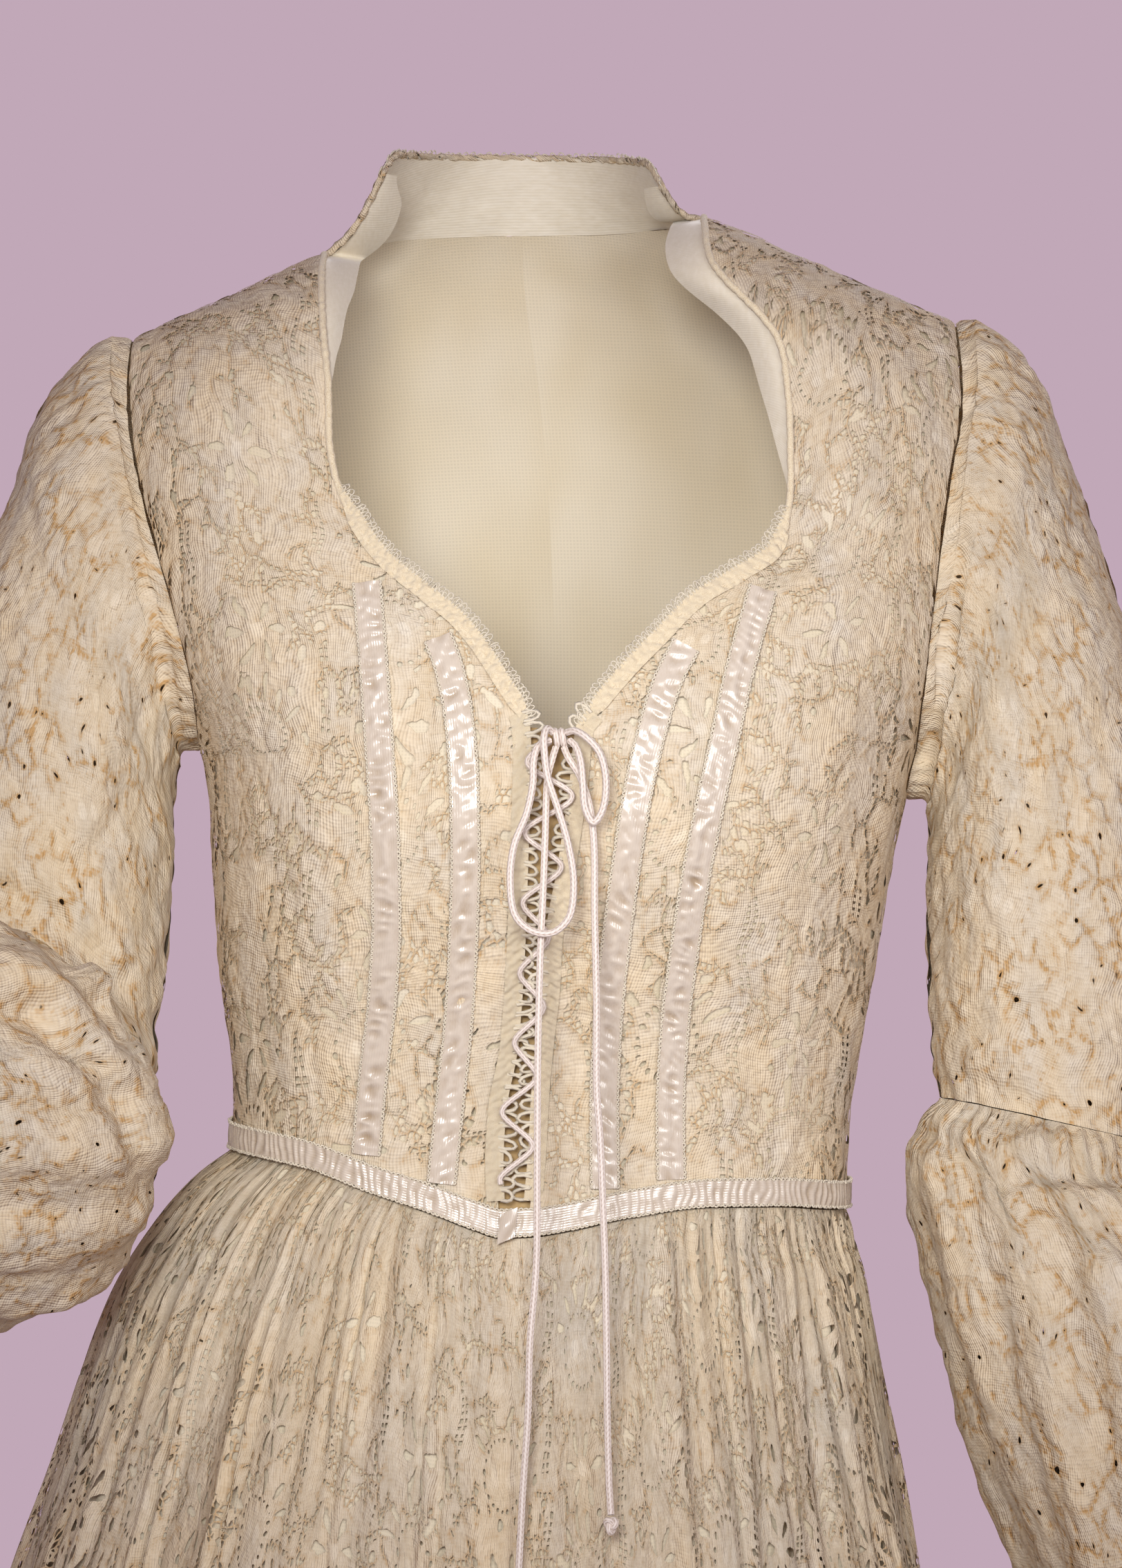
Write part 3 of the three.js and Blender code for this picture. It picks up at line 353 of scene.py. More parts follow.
BOW_KNOT = (6.4, -126.6, -181)
BOW_KNOT_HALF = 2.1
turn = np.linspace(0, 2 * np.pi * 1.75, 60)
knotted("bow_knot", np.stack([BOW_KNOT[0] - BOW_KNOT_HALF + 2 * BOW_KNOT_HALF * turn / turn[-1],
                              BOW_KNOT[1] + 2.5 * np.cos(turn + 1.2),
                              BOW_KNOT[2] + 2.7 * np.sin(turn + 1.2)], -1), 2.5)
turn = np.linspace(0, 2 * np.pi * 0.97, 70)
overhand = np.stack([np.sin(turn) + 2 * np.sin(2 * turn), -1.3 * np.sin(3 * turn),
                     np.cos(turn) - 2 * np.cos(2 * turn)], -1)
for node, route in (("knot_left", TAIL_LEFT_ROUTE), ("knot_right", TAIL_RIGHT_ROUTE)):
    x, y, z = route[-1]
    knotted(node, overhand * (0.68, 0.68, 0.95) + (x, y, z - 3.8), 2.3)


# Lining: ivory plain-woven cotton lawn, cut to the same four bodice panels as the lace and sewn
# in with it. Its colour shows through the gaps of the lace, and its inside through the neckline.
UNDERARM = {"left": -187, "right": -206}
SHOULDER_ROLL = 62
ARMHOLE = {
    "left": table(["z", "x"], [
        (-187, -135.5), (-178, -136), (-165, -137), (-137, -142.7), (-109, -150.5), (-90, -156),
        (-71, -160), (-53, -162.4), (-32, -165), (-20, -164),
    ]),
    "right": table(["z", "x"], [
        (-206, 142.7), (-196, 144), (-185, 146.5), (-168, 148), (-151, 150), (-127, 152.4),
        (-109, 154.5), (-85, 158), (-70, 160.5), (-53, 164), (-32, 166), (-14, 164),
    ]),
}
WAIST = {
    "front": table(["x", "z"], [
        (-133, -341), (-94, -346.5), (-66, -356), (-45, -362.5), (-24, -370), (-15, -372.5), (-2, -372),
        (11, -370), (35, -365), (64, -361.5), (90, -362), (121, -366),
    ]),
    "back": table(["x", "z"], [(-133, -341), (-60, -349), (0, -356), (60, -361), (121, -366)]),
}
NECK_POINT = {"left": (-88, 14), "right": (64, 29)}
SHOULDER_TIP = {"left": (-164, -20), "right": (164, -14)}
BACK_NECK = (-9, 27, 0.93)
BACK_NECK_SHARE = 0.46
SIDES = ("left", "right")
FACES = ("front", "back")


def mix(a, b, share):
    """What lies a share of the way from a to b."""
    return a + (b - a) * share


def top_edge(side, face, u):
    """The upper edge of a panel: the shoulder seam, and on the back the neckline too."""
    neck, tip = NECK_POINT[side], SHOULDER_TIP[side]
    if face == "front":
        return mix(neck[0], tip[0], u), mix(neck[1], tip[1], u), 0 * u
    share = np.clip((u - BACK_NECK_SHARE) / (1 - BACK_NECK_SHARE), 0, 1)
    turn = np.pi / 2 * np.clip(u / BACK_NECK_SHARE, 0, 1)
    shoulder = u > BACK_NECK_SHARE
    x = np.where(shoulder, mix(neck[0], tip[0], share), mix(BACK_NECK[0], neck[0], np.sin(turn)))
    z = np.where(shoulder, mix(neck[1], tip[1], share), mix(neck[1], BACK_NECK[1], np.cos(turn)))
    return x, z, np.where(shoulder, 0, BACK_NECK[2] * np.cos(turn))


def bodice_panel(side, face, u, v):
    """Points of a bodice panel: u runs from the middle to the side, v from shoulder to waist."""
    power = 2 / ROUNDNESS

    def place_at(z):
        middle, _, width, _ = reach(side, face, z)
        outer = np.where(z > UNDERARM[side], along(ARMHOLE[side], "x", z), middle + SIGN[side] * width)
        inner = along(FRONT_EDGE[side], "x", z) if face == "front" else middle
        turns = []
        for edge in (inner, outer):
            across = (edge - middle) * SIGN[side] / width
            turns.append(np.sign(across) * np.arcsin(np.minimum(np.abs(across), 1) ** (1 / power)))
        turn = mix(turns[0], turns[1], u)
        return middle + SIGN[side] * width * np.sign(turn) * np.abs(np.sin(turn)) ** power

    top_x, top_z, top_roll = top_edge(side, face, u)
    floor = along(WAIST[face], "z", place_at(-355 + 0 * u)) + 0.15
    z = mix(top_z, floor, v)
    settled = np.minimum((top_z - z) / 60, 1)
    x = mix(top_x, place_at(z), settled * settled * (3 - 2 * settled))
    turned = 1 - np.minimum(1 - np.sqrt(1 - top_roll ** 2) + (top_z - z) / SHOULDER_ROLL, 1)
    return on_body(side, face, x, z, np.sqrt(1 - turned * turned))


def lifted(points, inside, height):
    """Moves a grid of points along its own normals, away from the places inside."""
    across, down = np.gradient(points, axis=1), np.gradient(points, axis=0)
    normal = np.cross(across, down)
    normal /= np.maximum(np.linalg.norm(normal, axis=-1), 1e-9)[..., None]
    outward = np.sign(np.sum(normal * (points - inside), axis=(-1)).mean())
    return points + normal * outward * np.asarray(height)[..., None]


def ripple(across, down, size, seed, stretch=1.0):
    """A soft uneven field with waves of about one size, fixed by its seed."""
    dice = np.random.default_rng(seed)
    total = 0
    for _ in range(16):
        angle, phase, wave = dice.uniform(0, 2 * np.pi, 2).tolist() + [size * dice.uniform(0.7, 1.7)]
        place = across * np.cos(angle) + down * np.sin(angle) / stretch
        total = total + np.sin(2 * np.pi * place / wave + phase)
    return total / 4


def lengths(points, axis):
    """Distances along a grid's rows (axis 1) or columns (axis 0), from its first point."""
    steps = np.linalg.norm(np.diff(points, axis=axis), axis=-1)
    start = np.zeros_like(np.take(steps, [0], axis=axis))
    return np.concatenate([start, np.cumsum(steps, axis=axis)], axis=axis)


def area_of(points):
    """The area of a grid of points, in square metres."""
    cells = np.cross(points[1:, 1:] - points[:-1, :-1], points[1:, :-1] - points[:-1, 1:])
    return np.linalg.norm(cells, axis=-1).sum() / 2 * MM * MM


def cut_size(points):
    """Width and length in metres of the cloth that a flat-lying panel was cut from."""
    width, length = lengths(points, 1)[:, -1].max() * MM, lengths(points, 0)[-1].max() * MM
    return (width, length), max(min(area_of(points), width * length), 0.31 * width * length)


def bodice_grid(side, face, columns, rows):
    """A panel's points, its middle, and each point's place on the cloth in millimetres."""
    u, v = np.meshgrid(np.linspace(0, 1, columns), np.concatenate([
        np.linspace(0, 0.2, rows // 3, endpoint=False), np.linspace(0.2, 1, rows - rows // 3)]) + 1e-5)
    points = bodice_panel(side, face, u, np.minimum(v, 1))
    inside = np.stack([points[..., 0] * 0.6, 8 + 0 * u, np.minimum(points[..., 2], -45)], -1)
    middle = reach(side, face, points[:, :1, 2])[0]
    across = SIGN[side] * lengths(points, 1) + points[:, :1, 0] - middle
    up = points[-1:, :, 2] + lengths(points, 0)[-1:] - lengths(points, 0)
    return points, inside, np.stack([across, up], -1)


lawn_material, tree, shader = new_material("cotton_lawn", {"Roughness": 0.88, "Specular IOR Level": 0.3})
# Plain weave, thread spacing 0.35 mm drawn at 0.7 mm so that it shows
cloth_at = add(tree, "ShaderNodeUVMap", uv_map="cloth")
warp = add(tree, "ShaderNodeTexWave", {"Vector": cloth_at, "Scale": 225.0, "Distortion": 0.6},
           out=1, wave_type="BANDS", bands_direction="X")
weft = add(tree, "ShaderNodeTexWave", {"Vector": cloth_at, "Scale": 225.0, "Distortion": 0.6},
           out=1, wave_type="BANDS", bands_direction="Y")
weave = add(tree, "ShaderNodeMath", (warp, weft), operation="MAXIMUM")
stains = add(tree, "ShaderNodeTexNoise", {"Scale": 5.0, "Detail": 1.0})
tint = add(tree, "ShaderNodeValToRGB", (stains,))
for tone, place, code in zip(tint.node.color_ramp.elements, (0.3, 0.7), ("#DDCDAE", "#E6D9C0")):
    tone.position, tone.color = place, linear(code)
shaded = add(tree, "ShaderNodeMix", {0: 0.12, 6: tint, 7: weave}, out=2,
             data_type="RGBA", blend_type="MULTIPLY")
tree.links.new(shaded, shader.inputs["Base Color"])
threads = add(tree, "ShaderNodeBump", {"Strength": 0.35, "Distance": 0.0002, "Height": weave})
tree.links.new(threads, shader.inputs["Normal"])

for side in SIDES:
    for face in FACES:
        points, inside, flat = bodice_grid(side, face, 60, 90)
        slack = np.maximum(ripple(flat[..., 0], flat[..., 1], 55, 3, 3.0), 0) * 1.1
        lying = lifted(points, inside, -0.35 - slack + 0.15 * ripple(flat[..., 0], flat[..., 1], 18, 4))
        piece = put(f"bodice_lawn_{face}_{side}", lying, grid_faces(*flat.shape[:2]), lawn_material,
                    f"bodice_lining_{face}_{side}", "cotton", flat=flat)


# Lace: machine-made cluny lace of ecru cotton, laid over the lining. Most of it is cloth stitch in
# uneven petals, with net where they part. Medallions with a fan of slots and pairs of raised spots,
# six-petalled flowers and ladders stand in it, on a half-drop repeat 58 mm wide and 84 mm high.
REPEAT_ACROSS = 58.0
REPEAT_UP = 84.0


def work_out(tree, fields, steps):
    """Adds one Math node for each step, which names its result, its operation and its inputs."""
    for name, operation, *inputs in steps:
        values = [fields[value] if isinstance(value, str) else value for value in inputs]
        fields[name] = add(tree, "ShaderNodeMath", values, operation=operation)


def ring_of_holes(r, turn, count, radius, wide, tall):
    """Steps that give s, which is below 0 in a ring of oval holes with these half sizes."""
    return [
        ("s", "MULTIPLY", turn, count / (2 * math.pi)),
        ("s", "WRAP", "s", 0.5, -0.5),
        ("s", "MULTIPLY", "s", 2 * math.pi * radius / count / wide),
        ("s", "MULTIPLY", "s", "s"),
        ("t", "SUBTRACT", r, radius),
        ("t", "DIVIDE", "t", tall),
        ("s", "MULTIPLY_ADD", "t", "t", "s"),
        ("s", "SQRT", "s"),
        ("s", "MULTIPLY_ADD", "s", wide, -wide),
    ]


def motif(name, up, share, smallest, growth):
    """Steps for a motif's own distance and turn. Its size varies, and share of them are left out."""
    return [
        ("place", "MULTIPLY_ADD", "column", REPEAT_UP / 2, "y"),
        ("place", "ADD", "place", up),
        ("row", "DIVIDE", "place", REPEAT_UP),
        ("row", "ROUND", "row"),
        ("cy", "WRAP", "place", REPEAT_UP / 2, -REPEAT_UP / 2),
        ("chance", "MULTIPLY_ADD", "column", 12.9898, "row"),
        ("chance", "MULTIPLY_ADD", "row", 78.233 + up, "chance"),
        ("chance", "SINE", "chance"),
        ("chance", "MULTIPLY", "chance", 437.5),
        ("chance", "FRACT", "chance"),
        ("size", "MULTIPLY_ADD", "chance", growth, smallest),
        ("missing", "LESS_THAN", "chance", share),
        ("cy", "MULTIPLY", "cy", 0.86),
        ("t", "MULTIPLY", "cx", "cx"),
        ("t", "MULTIPLY_ADD", "cy", "cy", "t"),
        ("t", "SQRT", "t"),
        ("t", "DIVIDE", "t", "size"),
        (name, "MULTIPLY_ADD", "missing", 99, "t"),
        (name + "_turn", "ARCTAN2", "cy", "cx"),
    ]


def lace_pattern(tree, close):
    """The lace's height as raised, in millimetres, its tone, which is painted light and shade, and solid,
    which is 0 in a hole.
    """
    cloth_at = add(tree, "ShaderNodeUVMap", uv_map="cloth")
    pull = add(tree, "ShaderNodeTexNoise", {"Vector": cloth_at, "Scale": 48.0, "Detail": 0.0}, out=1,
               noise_dimensions="2D")
    pulled = add(tree, "ShaderNodeVectorMath", (pull, (0.0075, 0.0075, 0), cloth_at),
                 operation="MULTIPLY_ADD")
    in_mm = add(tree, "ShaderNodeVectorMath", {0: pulled, 3: 1000.0}, operation="SCALE")
    in_mm = in_mm.node.outputs[0]
    f = {"x": add(tree, "ShaderNodeSeparateXYZ", (in_mm,), out=0),
         "y": add(tree, "ShaderNodeSeparateXYZ", (in_mm,), out=1),
         "blotch": add(tree, "ShaderNodeTexNoise", {"Vector": cloth_at, "Scale": 44.0, "Detail": 1.0},
                       noise_dimensions="2D"),
         "pucker": add(tree, "ShaderNodeTexNoise", {"Vector": cloth_at, "Scale": 260.0, "Detail": 1.0},
                       noise_dimensions="2D")}
    for name, cell, feature in (("petal", (9.0, 13.0), "DISTANCE_TO_EDGE"),
                                ("net", (2.7, 3.3), "DISTANCE_TO_EDGE"), ("eye", (12.0, 18.0), "F1")):
        scaled = add(tree, "ShaderNodeVectorMath", (in_mm, (1 / cell[0], 1 / cell[1], 1)),
                     operation="MULTIPLY")
        f[name] = add(tree, "ShaderNodeTexVoronoi", {"Vector": scaled, "Scale": 1.0, "Randomness": 0.9},
                      voronoi_dimensions="2D", feature=feature)
    f["lot"] = add(tree, "ShaderNodeSeparateColor", (f["eye"].node.outputs["Color"],))
    work_out(tree, f, [
        ("column", "DIVIDE", "x", REPEAT_ACROSS),
        ("column", "ROUND", "column"),
        ("cx", "WRAP", "x", REPEAT_ACROSS / 2, -REPEAT_ACROSS / 2),
        ("ax", "ABSOLUTE", "cx"),
    ] + motif("flower", REPEAT_UP / 2, 0.25, 0.8, 0.45) + motif("disc", 0.0, 0.3, 0.75, 0.4) + [
        ("clear", "SUBTRACT", "disc", 13.5),
        ("t", "SUBTRACT", "flower", 12.5),
        ("clear", "MINIMUM", "clear", "t"),
        # Net opens along the petals' outlines, most where the cloth is loose, and not in a motif
        ("petal", "MULTIPLY", "petal", 9.0),
        ("loose", "MULTIPLY_ADD", "blotch", 13.0, -6.2),
        ("loose", "MINIMUM", "loose", 2.1),
        ("open", "SUBTRACT", "petal", "loose"),
        ("t", "MULTIPLY_ADD", "clear", -1, 0.6),
        ("open", "MAXIMUM", "open", "t"),
        ("net", "MULTIPLY_ADD", "net", -2.7, 0.36),
        ("gap", "MAXIMUM", "open", "net"),
    ] + ring_of_holes("disc", "disc_turn", 22, 11.4, 0.75, 0.9) + [
        ("gap", "MINIMUM", "gap", "s"),
    ] + ring_of_holes("disc", "disc_turn", 14, 18.6, 1.35, 4.4) + [
        ("t", "MULTIPLY_ADD", "cy", -0.5, 1.5),
        ("s", "MAXIMUM", "s", "t"),
        ("gap", "MINIMUM", "gap", "s"),
    ] + ring_of_holes("flower", "flower_turn", 6, 7.6, 1.35, 3.9) + [
        ("gap", "MINIMUM", "gap", "s"),
        # Ladder between two columns of motifs
        ("s", "MULTIPLY_ADD", "ax", -1, REPEAT_ACROSS / 2 - 1.5),
        ("s", "ABSOLUTE", "s"),
        ("s", "SUBTRACT", "s", 0.85),
        ("t", "WRAP", "y", 1.6, -1.6),
        ("t", "ABSOLUTE", "t"),
        ("t", "SUBTRACT", "t", 0.9),
        ("s", "MAXIMUM", "s", "t"),
        ("t", "MULTIPLY_ADD", "blotch", 14, -6.4),
        ("s", "MAXIMUM", "s", "t"),
        ("gap", "MINIMUM", "gap", "s"),
        # Larger uneven gaps, taller than wide, where the threads have spread
        ("lot", "MULTIPLY_ADD", "lot", 0.42, -0.23),
        ("lot", "MINIMUM", "lot", 0.15),
        ("s", "MULTIPLY_ADD", "pucker", 0.14, "eye"),
        ("s", "SUBTRACT", "s", "lot"),
        ("s", "MULTIPLY_ADD", "s", 12.0, -0.84),
        ("t", "MULTIPLY_ADD", "clear", -1, 0.6),
        ("s", "MAXIMUM", "s", "t"),
        ("gap", "MINIMUM", "gap", "s"),
        ("t", "MULTIPLY_ADD", "pucker", 1.3, -0.6),
        ("gap", "ADD", "gap", "t"),
        # Painted shade: the colour darkens toward and into each hole
        ("hole_shade", "MULTIPLY", "gap", -2.0),
        ("hole_shade", "MINIMUM", "hole_shade", 1),
        ("hole_shade", "MAXIMUM", "hole_shade", 0),
        # Painted shade: the cloth is darker in tone round each hole, where shade falls at its edge
        ("rim_shade", "SUBTRACT", "gap", 0.5),
        ("rim_shade", "ABSOLUTE", "rim_shade"),
        ("rim_shade", "MULTIPLY_ADD", "rim_shade", -1.6, 1),
        ("rim_shade", "MAXIMUM", "rim_shade", 0),
        # Petals are domed, with a furrow along each outline. The colour is painted lighter on the domes and
        # in the motifs and darker in the furrows, as light and shade.
        ("dome", "MULTIPLY_ADD", "petal", 0.55, -0.1),
        ("t", "MULTIPLY_ADD", "blotch", -6, 3.3),
        ("dome", "MAXIMUM", "dome", "t"),
        ("furrow", "MINIMUM", "dome", 1),
        ("furrow", "MAXIMUM", "furrow", 0),
        ("t", "MULTIPLY_ADD", "clear", -0.8, 0.8),
        ("dome", "MAXIMUM", "dome", "t"),
        ("dome", "MINIMUM", "dome", 1),
        ("dome", "MAXIMUM", "dome", 0),
        # Pair of raised spots on the medallion, and one in each flower, drawn only as painted highlight in
        # the colour
        ("s", "SUBTRACT", "ax", 3.9),
        ("s", "MULTIPLY", "s", "s"),
        ("t", "MULTIPLY", "cy", "cy"),
        ("t", "MULTIPLY_ADD", "missing", 999, "t"),
        ("s", "ADD", "s", "t"),
        ("s", "SQRT", "s"),
        ("s", "SUBTRACT", 2.8, "s"),
        ("t", "SUBTRACT", 2.6, "flower"),
        ("s", "MAXIMUM", "s", "t"),
        ("spot_highlight", "MULTIPLY", "s", 0.9),
        ("spot_highlight", "MINIMUM", "spot_highlight", 1),
        ("spot_highlight", "MAXIMUM", "spot_highlight", 0),
        # Threads of the cloth stitch, 0.5 mm apart, drawn at 1.05 mm so that they show
        ("s", "MULTIPLY", "x", 2 * math.pi / 1.05),
        ("s", "SINE", "s"),
        ("t", "MULTIPLY", "y", 2 * math.pi / 1.3),
        ("t", "SINE", "t"),
        ("raised", "MULTIPLY", "furrow", 0.45),
        ("raised", "MULTIPLY_ADD", "pucker", 1.0, "raised"),
        ("raised", "MULTIPLY_ADD", "s", 0.09, "raised"),
        ("raised", "MULTIPLY_ADD", "t", 0.06, "raised"),
        # Tone: painted light and shade by the relief, lighter where the lace is raised and on the spots,
        # darker in the furrows and round and in the holes, with the threads' stripes
        ("tone", "SUBTRACT", "dome", "furrow"),
        ("tone", "MULTIPLY_ADD", "tone", 0.45, "raised"),
        ("tone", "MULTIPLY_ADD", "spot_highlight", 0.7, "tone"),
        ("tone", "MULTIPLY_ADD", "rim_shade", -0.14, "tone"),
        ("tone", "MULTIPLY_ADD", "hole_shade", -0.4, "tone"),
        ("tone", "MULTIPLY_ADD", "tone", 0.6, 0.05),
        ("solid", "ADD", "gap", close),
        ("solid", "MULTIPLY_ADD", "solid", 4, 0.5),
        ("solid", "MINIMUM", "solid", 1),
        ("solid", "MAXIMUM", "solid", 0),
    ])
    return f


def cluny_lace(name, close):
    """The lace as a material. close is the width in millimetres of the fine web round each gap."""
    material, tree, shader = new_material(name, {
        "Roughness": 0.92, "Specular IOR Level": 0.25})
    f = lace_pattern(tree, close)
    # The tone runs from a tan of painted shade through ecru to a pale cream of painted light
    tint = add(tree, "ShaderNodeValToRGB", (f["tone"],))
    tint.node.color_ramp.elements.new(0.46)
    for tone, place, code in zip(tint.node.color_ramp.elements, (0.12, 0.46, 0.9),
                                 ("#C8A678", "#DACDB8", "#EBE2D2")):
        tone.position, tone.color = place, linear(code)
    # The cloth is unevenly aged: warmer and cooler patches some 80 mm across
    age = add(tree, "ShaderNodeTexNoise", {"Scale": 11.0, "Detail": 0.0})
    aged = add(tree, "ShaderNodeMix", {0: age, 6: linear("#FFF2DA"), 7: linear("#F3F2F0")}, out=2,
               data_type="RGBA")
    coloured = add(tree, "ShaderNodeMix", {0: 1.0, 6: tint, 7: aged}, out=2, data_type="RGBA",
                   blend_type="MULTIPLY")
    tree.links.new(coloured, shader.inputs["Base Color"])
    tree.links.new(f["solid"], shader.inputs["Alpha"])
    bump = add(tree, "ShaderNodeBump", {"Strength": 1.0, "Distance": 0.001, "Height": f["raised"]})
    tree.links.new(bump, shader.inputs["Normal"])
    return material


lace_material = cluny_lace("cluny_cotton_lace", 0.0)
firm_lace_material = cluny_lace("cluny_cotton_lace_firm", 1.0)

LACE_COLUMNS = 78
# Seams and soft creases of the fronts, each from one end to the other, with its width and depth
BODICE_CREASES = {
    "left": [
        (-140, -112, -150, -98, 5, 1.4), (-133, -150, -118, -205, 7, 1.5), (-129, -190, -112, -232, 6, 1.2),
        (-121, -165, -98, -232, 1.5, 0.9), (-98, -232, -84, -345, 1.3, 0.8), (-118, -262, -106, -330, 6, 1.3),
        (-96, -60, -118, -118, 9, 1.2),
    ],
    "right": [
        (155, -96, 144, -107, 4, 1.6), (125.7, -165, 103, -228, 1.5, 0.9), (103, -228, 87, -358, 1.3, 0.8),
        (140, -140, 124, -200, 7, 1.6), (131, -190, 112, -246, 6, 1.1), (112, -270, 104, -345, 6, 1.2),
        (100, -60, 128, -112, 9, 1.2),
    ],
}


def troughs(points, lines):
    """How deep each point of a grid lies in soft creases drawn on the front, seen from the front."""
    total = np.zeros(points.shape[:-1])
    for x0, z0, x1, z1, width, depth in lines:
        run = np.array((x1 - x0, z1 - z0))
        off = points[..., (0, 2)] - (x0, z0)
        share = np.clip(off @ run / (run @ run), 0, 1)
        away = np.linalg.norm(off - share[..., None] * run, axis=-1)
        total -= depth * np.exp(-(away / width) ** 2) * (0.35 + 0.65 * np.sin(np.pi * (0.15 + 0.7 * share)))
    return total


def seam_dip(count, cell, depth=0.7):
    """A groove along both ends of a row of points that are a cell apart."""
    place = np.arange(count) * cell
    return -depth * (np.exp(-(place / 1.6) ** 2) + np.exp(-((place[-1] - place) / 1.6) ** 2))


for side in SIDES:
    for face in FACES:
        points, inside, flat = bodice_grid(side, face, LACE_COLUMNS, 190)
        height = (LACE_IN + 0.55 + 0.28 * ripple(flat[..., 0], flat[..., 1], 13, 11, 1.6)
                  + 0.3 * ripple(flat[..., 0], flat[..., 1], 34, 12, 2.0)
                  + troughs(points, BODICE_CREASES[side]) + seam_dip(LACE_COLUMNS, 1.9)[None])
        lying = lifted(points, inside, np.maximum(height, 0.05))
        piece = put(f"bodice_cluny_{face}_{side}", lying, grid_faces(*flat.shape[:2]), lace_material,
                    f"bodice_lace_{face}_{side}", "lace", flat=flat)


# Stand collar: a strip of the lace, faced inside with smooth cotton and bound along its top edge.
# It stands on the back neckline and ends at the neck points.
COLLAR_ROLL = 1.35
COLLAR_TOP = {"left": (-61, 53), "right": (43.5, 48), "middle": (-9, 58), "back": 66, "front": -4}


def collar(u, v):
    """Points of the collar: u runs from its left end round the back to its right one, v upwards."""
    side_point = []
    from_back = np.abs(u - 0.5) * 2
    turn = np.pi / 2 * from_back
    for side in SIDES:
        x, z, roll = top_edge(side, "back", from_back * BACK_NECK_SHARE)
        base = on_body(side, "back", x, z, roll)
        end, end_z = COLLAR_TOP[side]
        top = np.stack([mix(COLLAR_TOP["middle"][0], end, np.sin(turn)),
                        mix(COLLAR_TOP["front"], COLLAR_TOP["back"], np.cos(turn)),
                        mix(end_z, COLLAR_TOP["middle"][1], np.cos(turn))], -1)
        lift = mix(-0.01, 1, v)
        point = mix(base, top, lift[..., None])
        point[..., 2] -= 7 * np.sin(np.pi * lift) * (1 - 0.6 * np.cos(turn))
        # The corners are rounded off
        corner = np.exp(-((1 - from_back) / 0.1) ** 2) * np.maximum(lift, 0) ** 4
        point += corner[..., None] * np.array((SIGN[side] * 3.5, 2, -8))
        side_point.append(point)
    return np.where((u < 0.5)[..., None], side_point[0], side_point[1])


u, v = np.meshgrid(np.linspace(0, 1, 150), np.linspace(0, 1, 26))
points = collar(u, v)
inside = np.stack([0 * u - 9, 0 * u + 22, points[..., 2] - 6], -1)
flat = np.stack([lengths(points, 1) - 90, lengths(points, 0) + 20], -1)
soft = 0.25 * ripple(flat[..., 0], flat[..., 1], 12, 21) + 0.5 * ripple(flat[..., 0], flat[..., 1], 40, 22)
collar_lace = put("collar_cluny", lifted(points, inside, 0.7 + soft), grid_faces(26, 150), lace_material,
                  "collar_lace", "lace", flat=flat)

facing_material, tree, shader = new_material("polished_cotton_facing", {
    "Roughness": 0.6, "Sheen Weight": 0.3})
shade = add(tree, "ShaderNodeTexNoise", {"Scale": 30.0, "Detail": 5.0})
tint = add(tree, "ShaderNodeValToRGB", (shade,))
for tone, code in zip(tint.node.color_ramp.elements, ("#DCCFB4", "#EFE6D3")):
    tone.color = linear(code)
tree.links.new(tint, shader.inputs["Base Color"])
cloth_at = add(tree, "ShaderNodeUVMap", uv_map="cloth")
fine_weft = add(tree, "ShaderNodeTexWave", {"Vector": cloth_at, "Scale": 260.0}, out=1,
                wave_type="BANDS", bands_direction="Y")
tree.links.new(add(tree, "ShaderNodeBump", {"Strength": 0.25, "Distance": 0.0002, "Height": fine_weft}),
               shader.inputs["Normal"])
crease = 0.35 * ripple(flat[..., 0], flat[..., 1], 26, 23, 2.5)
facing = put("collar_lining", lifted(points, inside, -0.7 + soft * 0.6 + crease), grid_faces(26, 150),
             facing_material, "collar_facing", "cotton", flat=flat)


# Collar binding: a soft roll of gathered lace that closes the collar's top edge and its two ends.
def roll_along(path, radius, sides=10, bumps=0.0, seed=0):
    """A tube along a path, uneven where bumps is more than 0."""
    side, up = carried_frames(path)
    angle = 2 * np.pi * np.arange(sides) / sides
    distance = lengths(path[:, None], 0)[:, 0]
    swell = radius * (1 + bumps * ripple(distance[:, None], angle[None] * radius, 4.5, seed))
    return path[:, None] + swell[..., None] * (
        np.cos(angle)[None, :, None] * side[:, None] + np.sin(angle)[None, :, None] * up[:, None])


edge = np.concatenate([points[1:, 0][:-1], points[-1], points[1:, -1][:-1][::-1]])
edge, _ = smooth_path(edge[::3], 0.7)
roll = roll_along(edge, COLLAR_ROLL, bumps=0.16, seed=31)
flat = np.stack([lengths(roll, 0), lengths(roll, 1)], -1)
put("collar_binding", roll, grid_faces(len(edge), 10, ring=True), lace_material, None, "lace", flat=flat)


# Picot and loop edgings: fine cotton thread that leaves the cloth's edge and comes back in small
# loops, on the ribbons, the collar, the neckline and the edges of the lacing.
thread_material, tree, shader = new_material("mercerised_cotton_thread", {
    "Roughness": 0.7, "Sheen Weight": 0.3})
spun = add(tree, "ShaderNodeTexNoise", {"Scale": 700.0, "Detail": 2.0})
tint = add(tree, "ShaderNodeValToRGB", (spun,))
for tone, place, code in zip(tint.node.color_ramp.elements, (0.3, 0.7), ("#CDBD9D", "#F0E7D5")):
    tone.position, tone.color = place, linear(code)
tree.links.new(tint, shader.inputs["Base Color"])
tree.links.new(add(tree, "ShaderNodeBump", {"Strength": 0.5, "Distance": 0.0002, "Height": spun}),
               shader.inputs["Normal"])


